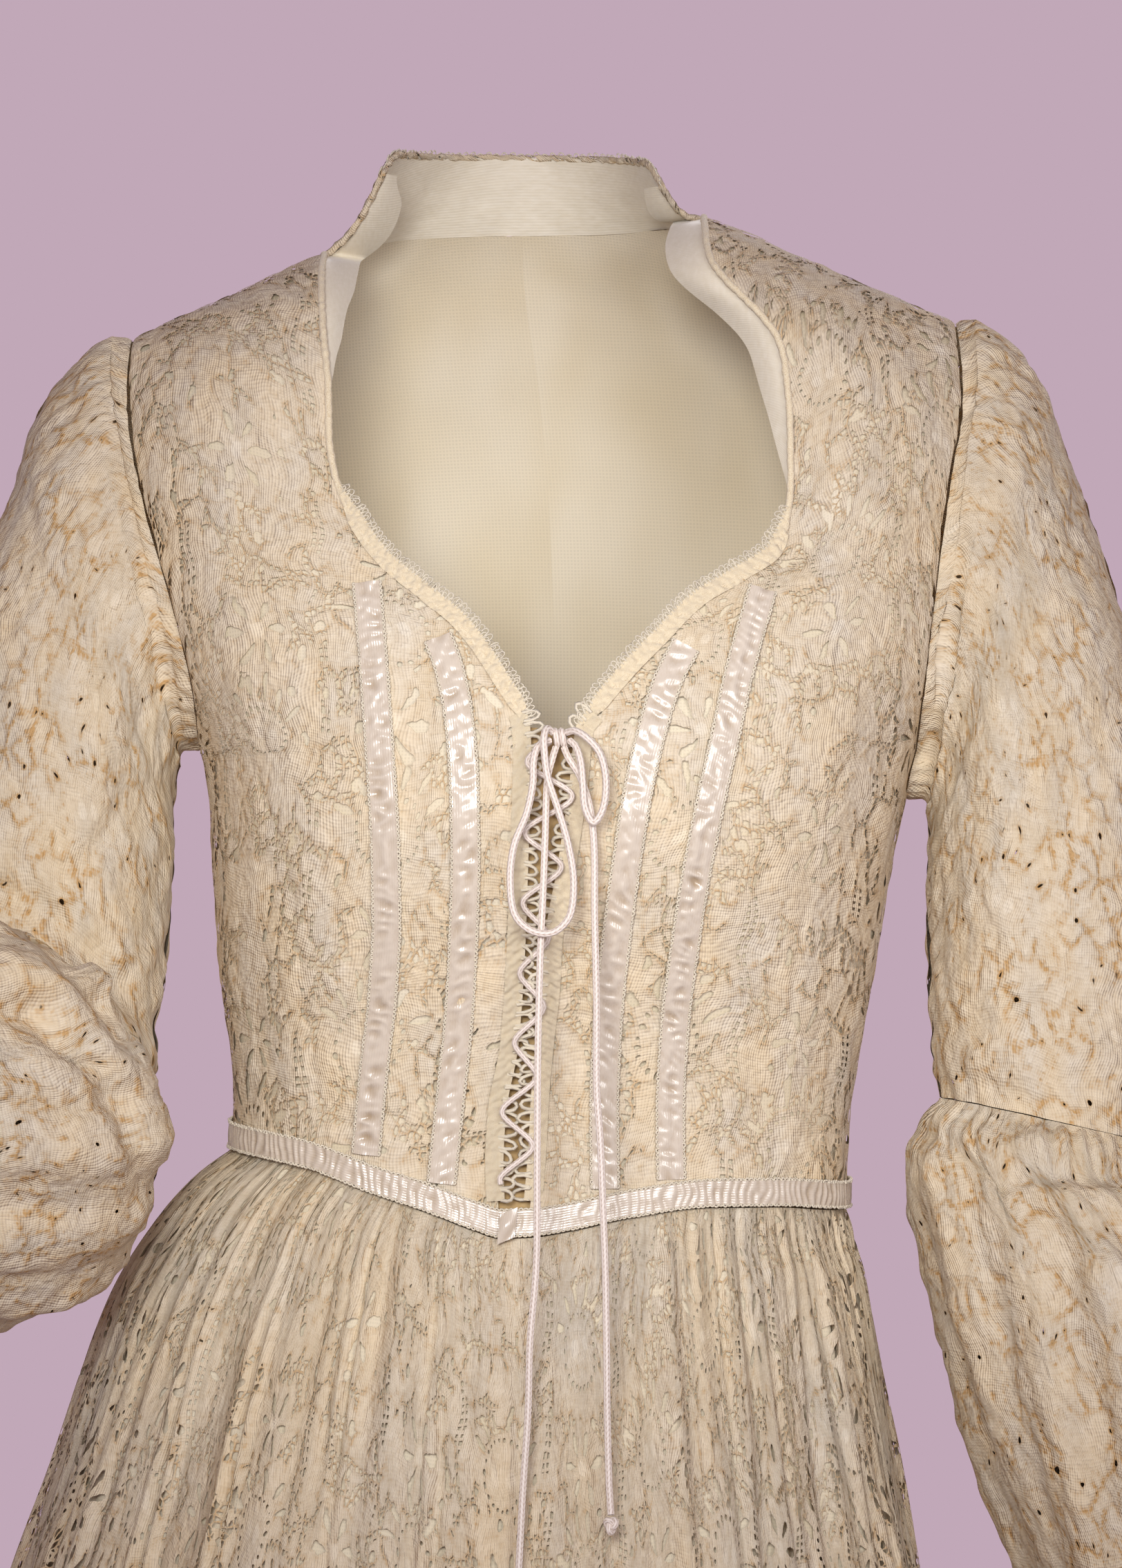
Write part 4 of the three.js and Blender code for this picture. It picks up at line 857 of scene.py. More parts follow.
def loops(edge, outward, facing, pitch, reach_out, thread, seed=0):
    """Thread loops along an edge. outward leads away from the cloth and facing off its face."""
    dice = np.random.default_rng(seed)
    distance = lengths(edge[:, None], 0)[:, 0]
    count = max(int(distance[-1] / pitch), 2)
    place = (np.arange(count) + 0.5) * distance[-1] / count
    grids = [np.stack([np.interp(place, distance, grid[:, c]) for c in range(3)], -1)
             for grid in (edge, outward, facing)]
    base, out, face = grids
    ahead = np.gradient(base, axis=0)
    ahead /= np.linalg.norm(ahead, axis=1)[:, None]
    out /= np.linalg.norm(out, axis=1)[:, None]
    face /= np.linalg.norm(face, axis=1)[:, None]
    arc = np.linspace(-0.15, 1.15, 7) * np.pi
    tall = reach_out * dice.uniform(0.75, 1.25, count)[:, None]
    wide = pitch * 0.42 * dice.uniform(0.85, 1.1, count)[:, None]
    tilt = dice.uniform(-0.25, 0.25, count)[:, None]
    curl = np.sign(dice.uniform(-1, 1, count))[:, None]
    centre = (base[:, None] + ahead[:, None] * (wide * np.cos(arc) + tilt * tall * np.sin(arc))[..., None]
              + out[:, None] * (tall * np.sin(arc))[..., None]
              + face[:, None] * (0.25 * np.sin(arc) * curl)[..., None])
    spoke = ahead[:, None] * np.cos(arc)[None, :, None] + out[:, None] * np.sin(arc)[None, :, None]
    turn = 2 * np.pi * np.arange(4) / 4
    tube = centre[:, :, None] + thread * (
        np.cos(turn)[None, None, :, None] * spoke[:, :, None]
        + np.sin(turn)[None, None, :, None] * face[:, None, None])
    one = grid_faces(7, 4, ring=True)
    faces = (one[None] + (np.arange(count) * 28)[:, None, None]).reshape(-1, 4)
    return tube.reshape(-1, 3), faces


def put_together(name, parts, material, node, slot, **more):
    """One piece from several runs of points and faces."""
    points, faces, start = [], [], 0
    for part_points, part_faces in parts:
        points.append(np.asarray(part_points).reshape(-1, 3))
        faces.append(part_faces + start)
        start += len(points[-1])
    return put(name, np.vstack(points), np.vstack(faces), material, node, slot, **more)


outer_edge = lifted(points, inside, 1.0 + soft)
top_ahead = np.gradient(outer_edge[-1], axis=0)
away = outer_edge[-1] - outer_edge[-3]
put_together("collar_picots", [loops(outer_edge[-1], away, np.cross(top_ahead, away), 3.4, 2.0, 0.3, 41)],
             thread_material, None, "edging")


# Neckline binding and facings: a soft roll closes the edge of each front from the collar to the
# lacing. Inside it the cotton facing of the collar goes on down the front, and narrows to nothing.
crochet_material, tree, shader = new_material("crocheted_cotton_band", {
    "Roughness": 0.9, "Sheen Weight": 0.3})
# Stitches about 1.3 mm across
stitches = add(tree, "ShaderNodeTexVoronoi", {"Scale": 780.0, "Randomness": 0.8})
strands = add(tree, "ShaderNodeTexNoise", {"Scale": 420.0, "Detail": 4.0})
height = add(tree, "ShaderNodeMath", (stitches, -0.8, strands), operation="MULTIPLY_ADD")
height = add(tree, "ShaderNodeMath", (height, 0.4), operation="ADD")
# The colour follows the height: painted shade in the hollows between the stitches and painted light on their
# tops, with random strands
tint = add(tree, "ShaderNodeValToRGB", (height,))
for tone, place, code in zip(tint.node.color_ramp.elements, (0.18, 0.55), ("#C09E66", "#F2E4C6")):
    tone.position, tone.color = place, linear(code)
tree.links.new(tint, shader.inputs["Base Color"])
tree.links.new(add(tree, "ShaderNodeBump", {"Strength": 1.0, "Distance": 0.0001, "Height": height}),
               shader.inputs["Normal"])
FACING_WIDTH = {
    "left": table(["z", "width"], [
        (-46, 0.6), (-32, 4), (-25, 6.5), (-12, 9.5), (-1, 13), (20, 15), (34, 12.5), (42, 7), (53, 2.5),
    ]),
    "right": table(["z", "width"], [
        (-86, 0.6), (-60, 7), (-40, 11), (-25, 13), (-13, 15), (0, 17), (15, 16), (29, 12), (40, 7),
        (48, 2.5),
    ]),
}
for side, end in (("left", 0), ("right", -1)):
    v = np.linspace(0.001, 0.62, 260)
    front_edge = bodice_panel(side, "front", 0 * v, v)
    front_edge = front_edge[front_edge[:, 2] > -175]
    path, _ = smooth_path(front_edge[::8] + (0, -0.5, 0), 0.8)
    roll = roll_along(path, 1.45, bumps=0.1, seed=34)
    flat = np.stack([lengths(roll, 1), lengths(roll, 0)], -1)
    put(f"neck_binding_{side}", roll, grid_faces(len(path), 10, ring=True), crochet_material, None,
        "edging", flat=flat)
    low = FACING_WIDTH[side]["keys"][0]
    outer = np.concatenate([points[1:, end][::-1], front_edge[front_edge[:, 2] > low][2:]])
    outer, _ = smooth_path(outer[::3], 1.6)
    width = along(FACING_WIDTH[side], "width", outer[:, 2])
    u, v = np.meshgrid(np.linspace(0, 1, 12), np.arange(len(outer)))
    turned = outer[:, None] + (width[:, None] * u)[..., None] * (-SIGN[side], 0.85, -0.04)
    belly = 1.8 * (np.sin(np.pi * u) * width[:, None] / 15)[..., None]
    turned += (0, 1.2, 0) + belly * np.array((0, -1, 0))
    turned[..., 1] += 0.35 * ripple(u * 14, v * 1.6, 17, 36, 2.0)
    flat = np.stack([lengths(turned, 1), lengths(turned, 0)], -1)
    facing = put(f"neck_facing_{side}", turned, grid_faces(len(outer), 12), facing_material, None, "cotton",
                 flat=flat)


# Satin ribbons: 3/8 inch polyester satin with picot edges, sewn flat on the bodice along both
# edges. The seams have drawn in, so each ribbon is puckered across all its length.
RIBBON_WIDTH = 9.7
RIBBON_PATHS = {
    "ribbon_outer_left": table(["z", "x"], [
        (-341.5, -67.8), (-310, -64.8), (-278, -61), (-248, -59.2), (-221, -59.5), (-186, -61.6),
        (-162, -63.5), (-121.5, -67.2),
    ]),
    "ribbon_inner_left": table(["z", "x"], [
        (-352.4, -39), (-318, -35.4), (-285, -32), (-255, -30.2), (-228, -29.3), (-200, -29.6),
        (-172, -32), (-155, -35.6), (-143, -40),
    ]),
    "ribbon_inner_right": table(["z", "x"], [
        (-354.3, 23.5), (-325, 23.2), (-292, 24.4), (-256, 27.8), (-228, 31.5), (-200, 36), (-179, 41),
        (-159.5, 47.3), (-146, 54.2),
    ]),
    "ribbon_outer_right": table(["z", "x"], [
        (-351, 48.8), (-325, 48.4), (-292, 50), (-256, 54.2), (-232, 57.8), (-207, 62.7),
        (-182, 68.4), (-155, 74.6), (-124, 83.8),
    ]),
}


def front_strip(path, width, top, bottom, across, rows, shift=0.0, taper=0.0):
    """A strip along a path on the front, tapered to both ends where a taper is given: its points and the
    places inside it.
    """
    u, v = np.meshgrid(np.linspace(0, 1, across), np.linspace(0, 1, rows))
    z = mix(top, bottom, v)
    width = width * (np.clip(0.15 + np.minimum(top - z, (z - bottom) * 1.6) / taper, 0, 1) if taper else 1)
    held = np.clip(z, path["keys"][0] + 2, path["keys"][-1] - 2)
    lean = (along(path, "x", held + 1) - along(path, "x", held - 1)) / 2
    size = np.hypot(1, lean)
    off = shift + (u - 0.5) * width
    x, z = along(path, "x", z) + off / size, z - off * lean / size
    left = (x < along(TORSO, "middle", z))[..., None]
    points = np.where(left, on_body("left", "front", x, z), on_body("right", "front", x, z))
    return points, points * (0.6, 0, 1)


satin_material, tree, shader = new_material("polyester_satin", {
    "Roughness": 0.26, "IOR": 1.52, "Specular IOR Level": 0.75, "Anisotropic": 0.5})
shade = add(tree, "ShaderNodeTexNoise", {"Scale": 60.0, "Detail": 3.0})
# Painted light and shade: the pucker height stored on each point makes the colour lighter on the crests and
# darker in the troughs, and the noise adds random tone
relief_and_shade = add(tree, "ShaderNodeAttribute", out="Fac", attribute_name="relief_and_shade")
lit = add(tree, "ShaderNodeMath", (shade, 0.5, relief_and_shade), operation="MULTIPLY_ADD")
tint = add(tree, "ShaderNodeValToRGB", (lit,))
for tone, place, code in zip(tint.node.color_ramp.elements, (0.2, 0.8), ("#B09B80", "#D2C4B2")):
    tone.position, tone.color = place, linear(code)
tree.links.new(tint, shader.inputs["Base Color"])
# Floats of the satin weave run along the ribbon, 0.12 mm apart, drawn at 0.5 mm
cloth_at = add(tree, "ShaderNodeUVMap", uv_map="cloth")
floats = add(tree, "ShaderNodeTexWave", {"Vector": cloth_at, "Scale": 320.0, "Distortion": 1.5},
             out=1, wave_type="BANDS", bands_direction="X")
tree.links.new(add(tree, "ShaderNodeBump", {"Strength": 0.18, "Distance": 0.0002, "Height": floats}),
               shader.inputs["Normal"])


def puckers(flat, width, seed, size=8.5):
    """Height of the sharp-crested puckers of a ribbon that its edge seams have drawn in."""
    across, run = flat[..., 0], flat[..., 1]
    held = 0.15 + 0.85 * np.sin(np.pi * np.clip(across / width, 0, 1))
    crest = 0.7 - np.abs(ripple(across * 0.7, run, size, seed, 0.9))
    return held * (0.66 * crest + 0.14 * ripple(across, run, size * 0.5, seed + 1))


def strip_edges(points, inside, pitch, reach_out, thread, seed, sides=(0, -1)):
    """Loops on one or both long edges of a strip."""
    made = []
    for end in sides:
        inner = 2 if end == 0 else -3
        away = points[:, end] - points[:, inner]
        face = np.cross(np.gradient(points[:, end], axis=0), away)
        face *= np.sign(np.sum(face * (points - inside)[:, end], -1))[:, None]
        made.append(loops(points[:, end], away, face, pitch, reach_out, thread, seed + end))
    return made


for number, (node, path) in enumerate(RIBBON_PATHS.items()):
    rows = int((path["keys"][-1] - path["keys"][0]) / 0.55)
    points, inside = front_strip(path, RIBBON_WIDTH, path["keys"][-1], path["keys"][0], 19, rows)
    flat = np.stack([lengths(points, 1), lengths(points, 0)], -1)
    height = puckers(flat, RIBBON_WIDTH, 50 + 3 * number)
    shown = lifted(points, inside, TRIM_IN - 0.1 + height)
    # The pucker height also goes into the colour, as painted light on the crests and painted shade in the
    # troughs
    put(node + "_satin", shown, grid_faces(rows, 19), satin_material, node, "satin", flat=flat,
        relief_and_shade=0.45 + 0.5 * height)
    put_together(node + "_picots", strip_edges(shown, inside, 1.75, 0.6, 0.42, 70 + number),
                 thread_material, None, "edging")


# Neckline edging: narrow looped cotton lace, laid along the lower curves of the neckline with its
# loops over the edge. The lacing bands are the same lace with longer loops, which the cord runs through.
EDGING_WIDTH = 6.5
EDGING_TAPER = 16
BAND_WIDTH = 7
for node, side, width, top, bottom, shift, pitch, reach_out, thread, seed in (
        ("neck_edging_left", "left", EDGING_WIDTH, -84, -177, 1, 1.8, 1.5, 0.3, 80),
        ("neck_edging_right", "right", EDGING_WIDTH, -92, -177, -1, 1.8, 1.5, 0.3, 84),
        ("lacing_band_left", "left", BAND_WIDTH, -172, -359, -0.8, 5.2, 4.4, 0.8, 88),
        ("lacing_band_right", "right", BAND_WIDTH, -172, -359, 0.8, 5.2, 4.4, 0.8, 92)):
    rows = 330
    on_neckline = node.startswith("neck")
    points, inside = front_strip(FRONT_EDGE[side], width, top, bottom, 11, rows, shift,
                                 taper=EDGING_TAPER if on_neckline else 0)
    flat = np.stack([lengths(points, 1) + 26, lengths(points, 0)], -1)
    # Shells of crochet stand up along the strip, one every 3 mm or so
    soft = (0.42 * ripple(flat[..., 0], flat[..., 1], 3.2, seed)
            + 0.3 * ripple(flat[..., 0], flat[..., 1], 14, seed))
    shown = lifted(points, inside, TRIM_IN - 0.6 + soft)
    put(node + "_band", shown, grid_faces(rows, 11), crochet_material, node, "edging", flat=flat)
    end = -1 if side == "left" else 0
    made = strip_edges(shown, inside, pitch, reach_out, thread, seed, (end,))
    if on_neckline:
        # A second row of loops hangs on the first, a little farther out
        away = shown[:, end] - shown[:, 2 if end == 0 else -3]
        farther = np.array(shown)
        farther[:, end] += away / np.linalg.norm(away, axis=1)[:, None] * 1.35
        made += strip_edges(farther, inside, pitch * 1.5, reach_out * 1.1, thread, seed + 5, (end,))
    put_together(node + "_loops", made, thread_material, None, "edging")


# Underlay: a plain strip of cotton inside the lacing, which fills the gap between the fronts. Its dark tan is
# partly the cloth's colour and partly painted shade, the shadow that lies in the gap.
underlay_material, tree, shader = new_material("cotton_underlay_tan_and_shade", {
    "Roughness": 0.9, "Sheen Weight": 0.2})
cloth_at = add(tree, "ShaderNodeUVMap", uv_map="cloth")
warp = add(tree, "ShaderNodeTexWave", {"Vector": cloth_at, "Scale": 200.0, "Distortion": 1.0}, out=1,
           wave_type="BANDS", bands_direction="DIAGONAL")
shade = add(tree, "ShaderNodeTexNoise", {"Scale": 45.0, "Detail": 4.0})
# Tan tones darker than the lining: partly the cloth's colour, partly painted shade of the gap
tint = add(tree, "ShaderNodeValToRGB", (shade,))
for tone, code in zip(tint.node.color_ramp.elements, ("#A98652", "#CBAE7F")):
    tone.color = linear(code)
tree.links.new(tint, shader.inputs["Base Color"])
tree.links.new(add(tree, "ShaderNodeBump", {"Strength": 0.4, "Distance": 0.0002, "Height": warp}),
               shader.inputs["Normal"])
UNDERLAY_PATH = table(["z", "x"], [(-368, -11), (-300, -6), (-177, 4)])
points, inside = front_strip(UNDERLAY_PATH, 50, -177, -366, 24, 70)
flat = np.stack([lengths(points, 1), lengths(points, 0)], -1)
soft = 0.3 * ripple(flat[..., 0], flat[..., 1], 22, 96, 1.5)
underlay = put("lacing_underlay_cloth", lifted(points, inside, -LINING - 2.6 + soft), grid_faces(70, 24),
               underlay_material, "lacing_underlay", "underlay", flat=flat)


# Waist ribbon: the same satin, wider shirred and sewn over the waist seam, which dips to a point
# at the middle of the front. Its end is folded under near that point.
WAIST_RIBBON = 9.5


def waist_round(face, rows, columns):
    """Points of half the waist ribbon and the places inside it."""
    u, v = np.meshgrid(np.linspace(0.0005, 0.9995, columns), np.linspace(0, 1, rows))
    turn = np.abs(u - 0.5) * np.pi
    sides = []
    for side in SIDES:
        middle, _, width, _ = reach(side, face, -355)
        across = np.sin(turn) ** (2 / ROUNDNESS)
        z = along(WAIST[face], "z", middle + SIGN[side] * width * across) + 0.3 + WAIST_RIBBON * (1 - v)
        middle, _, width, _ = reach(side, face, z)
        sides.append(on_body(side, face, middle + SIGN[side] * width * across, z))
    points = np.where((u < 0.5)[..., None], sides[0], sides[1])
    return points, points * (0, 0, 1)


for face in FACES:
    points, inside = waist_round(face, 13, 520)
    flat = np.stack([lengths(points, 0), lengths(points, 1)], -1)
    drift = 0.35 * ripple(flat[..., 0], flat[..., 1], 14, 98)
    shirring = 0.34 * np.sin(2 * np.pi * (flat[..., 1] / 3.4 + drift))
    held = 0.6 + 0.4 * np.sin(np.pi * flat[..., 0] / WAIST_RIBBON)
    height = shirring * held + 0.4 * puckers(flat, WAIST_RIBBON, 100)
    shown = lifted(points, inside, TRIM_IN - 0.1 + height)
    # The shirring height also goes into the colour, as painted light on the crests and painted shade in the
    # troughs
    put(f"waist_ribbon_{face}_satin", shown, grid_faces(13, 520), satin_material,
        f"waist_ribbon_{face}", "satin", flat=flat, relief_and_shade=0.45 + 0.5 * height)
    turned = np.swapaxes(shown, 0, 1)
    put_together(f"waist_ribbon_{face}_picots",
                 strip_edges(turned, np.swapaxes(inside, 0, 1), 1.9, 0.6, 0.42, 104), thread_material,
                 None, "edging")


# The ribbon's end is folded back on itself at the point and hangs a little below the edge
u, v = np.meshgrid(np.linspace(-1, 1, 9), np.linspace(0, 1, 15))
x, z = -13.2 + u * 3.4 - 1.2 * v, -362.5 - 11.5 * v + 1.4 * u
off = TRIM_OUT + 0.7 + 0.8 * v + 0.3 * np.sin(5 * v + 2 * u)
flap = on_body("left", "front", x, z) - np.stack([0 * u, off, 0 * u], -1)
flap[..., 1] -= 1.2 * np.sin(np.pi * v) ** 2 * (1 - u * u)
flap_flat = np.stack([lengths(flap, 1), lengths(flap, 0)], -1)
# The colour is painted lighter and darker along the flap's waves, as light and shade
put("waist_ribbon_end", flap, grid_faces(15, 9), satin_material, None, "satin", flat=flap_flat,
    relief_and_shade=0.55 + 0.25 * np.sin(5 * v + 2 * u))


# Skirt: four gores of cotton lining, and the lace in four gores gathered over them into the waist
# seam. The lace is 2.1 m round, drawn in to a third at the waist and nearly spread at the hem.
HEM_Z = -1390
GATHERS = 64
BROAD_FOLDS = 11
SKIRT_ROUNDNESS = 2.15
SKIRT_CLOTH = 2100
FLARE = table(["drop", "left", "right", "front", "back", "gather", "fold"], [
    (0, 0, 0, 0, 0, 0.5, 0), (12, 15, 2, 6, 8, 1.7, 0.2), (27, 28, 7, 12, 15, 2.3, 0.5),
    (56, 46, 13, 22, 25, 2.8, 1), (84, 57, 18, 31, 33, 3.1, 1.6), (123, 70, 25, 42, 43, 3.4, 2.4),
    (164, 84, 33, 52, 52, 3.8, 3.4), (260, 112, 54, 77, 74, 4.6, 5.5), (460, 156, 95, 118, 112, 6, 9),
    (660, 186, 128, 150, 144, 7.2, 12), (860, 208, 152, 174, 168, 8, 14.5),
    (1055, 226, 172, 192, 186, 8.5, 16),
])


def skirt_gore(side, face, u, v, wavy):
    """Points of one quarter of the skirt, the drop below the waist seam, and the turn round it."""
    turn = u * np.pi / 2
    middle, _, width, _ = reach(side, face, -355)
    start = middle + SIGN[side] * width * np.sin(turn) ** (2 / ROUNDNESS)
    waist = along(WAIST[face], "z", start) - 1.2
    z = mix(waist, HEM_Z, v)
    drop = waist - z
    middle, seam, width, depth = reach(side, face, waist)
    shape = mix(2 / ROUNDNESS, 2 / SKIRT_ROUNDNESS, np.minimum(drop / 40, 1))
    base = {("right", "front"): turn, ("right", "back"): np.pi - turn,
            ("left", "back"): np.pi + turn, ("left", "front"): -turn}[side, face]
    gather, fold = along(FLARE, "gather", drop), along(FLARE, "fold", drop)
    # The gathers are uneven and fade as they fall, and the broad folds grow
    uneven = ripple(base * 300, drop * 0.05, 60, 111)
    wave = gather * (0.5 + 0.5 * np.exp(-drop / 160)) * np.clip(
        0.55 + 0.6 * ripple(base * 300, drop * 0.25, 42, 112), 0.08, 1.2)
    wave = wave * np.cos(GATHERS * base + 2.6 * uneven + 0.8 * ripple(base * 300, drop * 0.3, 70, 115))
    wave = wave + fold * np.cos(BROAD_FOLDS * base + 0.9 * np.sin(2 * base + 0.6))
    # Finer gathers crowd under the waist seam and die away below it
    crowd = np.exp(-drop / 80) * np.minimum(drop / 6, 1)
    wave = wave + crowd * (0.8 * np.sin(131 * base + 2.5 * uneven) + 0.6 * np.sin(197 * base + 3 * uneven))
    wave = wave + np.minimum(drop / 15, 1) * 0.9 * ripple(base * 300, drop * 0.12, 26, 110)
    if not wavy:
        # The lining follows the lace part of the way into its folds
        within = np.clip(gather + fold + wave, 0, 9) * 0.7 - gather - fold - LINING
        wave = np.minimum(within, wave - 1.5)
    out_x = width + along(FLARE, side, drop) + wave
    out_y = np.abs(depth) + along(FLARE, face, drop) + wave
    x = middle + SIGN[side] * out_x * np.sin(turn) ** shape
    y = seam + (-1 if face == "front" else 1) * out_y * np.cos(turn) ** shape
    return np.stack([x, y, z], -1), drop, base


# Deeper folds of the front, most of them on the right, and the soft ridges beside them
SKIRT_CREASES = [
    (95, -374, 118, -530, 7, 5), (84, -372, 98, -560, 7, -3), (112, -376, 152, -560, 8, 5),
    (62, -370, 72, -500, 5, 3), (36, -372, 40, -540, 5, 2.4), (12, -385, 14, -570, 6, 2.4),
    (-30, -380, -44, -540, 5, 2.4), (-58, -370, -92, -520, 6, 3.2), (-48, -376, -74, -520, 6, -2),
    (-98, -352, -152, -500, 9, 4), (-112, -350, -190, -480, 9, 3),
]

for side in SIDES:
    for face in FACES:
        u, v = np.meshgrid(np.linspace(0, 1, 100), np.linspace(0, 0.996, 50) ** 1.4)
        points, drop, base = skirt_gore(side, face, u, v, False)
        if face == "front":
            points[..., 1] -= np.minimum(troughs(points, SKIRT_CREASES), 0)
        flat = np.stack([base * 300, -drop], -1)
        lining = put(f"skirt_lawn_{face}_{side}", points, grid_faces(50, 100), lawn_material,
                     f"skirt_lining_{face}_{side}", "cotton", flat=flat)
        size, area = cut_size(points)

        rows = np.concatenate([np.linspace(0, 0.17, 54, endpoint=False), np.linspace(0.17, 1, 54)])
        u, v = np.meshgrid(np.linspace(0, 1, 184), rows)
        points, drop, base = skirt_gore(side, face, u, v, True)
        flat = np.stack([base * SKIRT_CLOTH / (2 * np.pi), -drop], -1)
        if face == "front":
            points[..., 1] -= troughs(points, SKIRT_CREASES)
        gore = put(f"skirt_cluny_{face}_{side}", points, grid_faces(len(rows), 184), lace_material,
                   f"skirt_lace_{face}_{side}", "lace", flat=flat)


# Sleeves: unlined lace, each cut as an upper sleeve and a fuller lower one that is gathered into the
# elbow seam and again into the cuff. The left arm is bent forward and the right one hangs.
SLEEVE_COLUMNS = ["station", "outerX", "outerY", "outerZ", "innerX", "innerY", "innerZ", "depth"]
SLEEVE = {
    "left": table(SLEEVE_COLUMNS, [
        (1, -172, 8, -18, -141, -2, -187, 50), (2, -187, 7, -30, -143.5, -3, -191.5, 52),
        (3, -202, 5, -50, -145, -4, -199, 53), (4, -214, 3, -80, -146, -5, -210, 54),
        (5, -228, 0, -120, -147, -7, -226, 54), (6, -240, -3, -165, -149, -9, -246, 53),
        (7, -249, -6, -210, -151, -12, -270, 52), (8, -253, -10, -252, -152, -18, -292, 50),
        (9, -252, -16, -280, -152, -26, -306, 49), (10, -248, -22, -298, -154, -36, -316, 47),
        (11, -256, -34, -300, -147, -68, -340, 60), (12, -266, -52, -288, -151, -116, -364, 76),
        (13, -289, -77, -286, -168, -149, -370, 82), (14, -315, -103, -287, -194, -175, -371, 82),
        (15, -341, -129, -291, -227, -197, -369, 77), (16, -359, -157, -298, -265, -213, -364, 64),
        (17, -369, -183, -310, -301, -223, -356, 46), (18, -374, -198, -316, -322, -228, -352, 34),
        (19, -406, -225, -320, -361, -252, -353, 31),
    ]),
    "right": table(SLEEVE_COLUMNS, [
        (1, 172, 8, -11, 148.5, -2, -206, 50), (2, 187, 7, -23, 151, -3, -210, 52),
        (3, 200, 6, -41, 152, -4, -215, 53), (4, 213, 4, -78, 152.5, -5, -223, 54),
        (5, 227, 2, -118, 153, -7, -234, 54), (6, 240, 0, -165, 153.3, -8, -249, 53),
        (7, 248, -3, -215, 153.5, -10, -269, 52), (8, 251, -6, -265, 153.5, -12, -293, 50),
        (9, 250, -8, -312, 154, -14, -312, 48), (10, 249, -10, -344, 157, -14, -323, 47),
        (11, 262, -10, -353, 147.5, -14, -334, 58), (12, 283, -12, -378, 144, -16, -354, 72),
        (13, 300, -16, -415, 150, -20, -380, 80), (14, 313, -20, -455, 157, -24, -414, 84),
        (15, 320, -24, -495, 167, -28, -456, 84), (16, 318, -28, -535, 183, -32, -500, 76),
        (17, 303, -32, -570, 206, -36, -546, 56), (18, 292, -35, -592, 227, -39, -580, 34),
        (19, 302, -44, -638, 241, -47, -627, 31),
    ]),
}
PUFFS = 7
HEAD_LIFT = 9


def armhole(side, turn):
    """A point of the armhole seam. turn runs from the shoulder tip by the front to the underarm."""
    low = (1 - np.cos(turn)) / 2
    tip, waist = SHOULDER_TIP[side][1], along(WAIST["front"], "z", along(TORSO, side, -355))
    v = low * (tip - UNDERARM[side]) / (tip - waist) + 1e-5
    front, back = (bodice_panel(side, face, 1.0 + 0 * v, v) for face in FACES)
    point = np.where((np.sin(turn) >= 0)[..., None], front, back)
    return point + np.stack([SIGN[side] * 1.1 + 0 * low, 0 * low, 1.6 * low], -1)


def sleeve(side, half, u, station):
    """Points of one half of a sleeve, and the middle of the arm inside each."""
    rows = SLEEVE[side]

    def line(end, at):
        return np.stack([along(rows, end + axis, at) for axis in "XYZ"], -1)

    def centre(at):
        return (line("outer", at) + line("inner", at)) / 2

    at = np.maximum(station, 1)
    turn = np.pi * (u + (0 if half == "front" else 1))
    middle = centre(at)
    across = line("outer", at) - middle
    facing = np.where(at < 10, np.minimum(at, 9.6), np.maximum(9.6, at - 0.7))
    ahead = centre(facing + 0.5) - centre(np.maximum(facing - 0.5, 1))
    forward = np.cross(across, ahead)
    forward *= (-SIGN[side] * along(rows, "depth", at) / np.linalg.norm(forward, axis=-1))[..., None]
    full = np.sin(np.pi * np.clip((at - 10) / 8, 0, 1))
    swell = (1 + 0.035 * full * np.cos(2 * PUFFS * turn))[..., None]
    point = middle + (across * np.cos(turn)[..., None] + forward * np.sin(turn)[..., None]) * swell
    seam = armhole(side, turn)
    seam[..., 0] += SIGN[side] * HEAD_LIFT * station
    share = np.clip(1 - station / 2, 0, 1)[..., None]
    return mix(point, seam, share), middle


# Creases of the sleeves, seen from the front: at the armholes, inside the elbows and on the puffs
SLEEVE_CREASES = {
    "left": [
        (-150, -150, -166, -205, 7, 3), (-158, -120, -178, -180, 8, 2.2), (-152, -200, -186, -236, 7, 2.4),
        (-215, -236, -190, -251, 6, 4.5), (-190, -251, -164, -278, 6, 5.5), (-164, -278, -150, -300, 5, 4),
        (-210, -277, -187, -283, 5, 4), (-187, -283, -166, -303, 5, 5), (-166, -303, -153, -330, 5, 5),
        (-153, -330, -149, -354, 5, 4), (-205, -262, -180, -275, 6, -2.5), (-180, -275, -158, -300, 6, -2.5),
        (-201, -296, -190, -303, 5, 3), (-222, -60, -196, -120, 9, 1.6), (-240, -150, -206, -200, 10, 1.8),
    ],
    "right": [
        (148, -120, 166, -176, 7, 3), (152, -176, 176, -222, 7, 2.4), (160, -100, 186, -146, 8, 1.8),
        (156, -312, 190, -322, 6, 2.6), (158, -296, 206, -286, 8, 2), (168, -349, 236, -347, 5, 3.6),
        (165, -340, 232, -337, 6, -1.8), (150, -335, 176, -352, 5, 2.6), (160, -356, 232, -372, 8, 2.4),
        (172, -420, 206, -372, 9, 2.2), (200, -60, 184, -120, 9, 1.6), (226, -160, 196, -226, 10, 2),
    ],
}

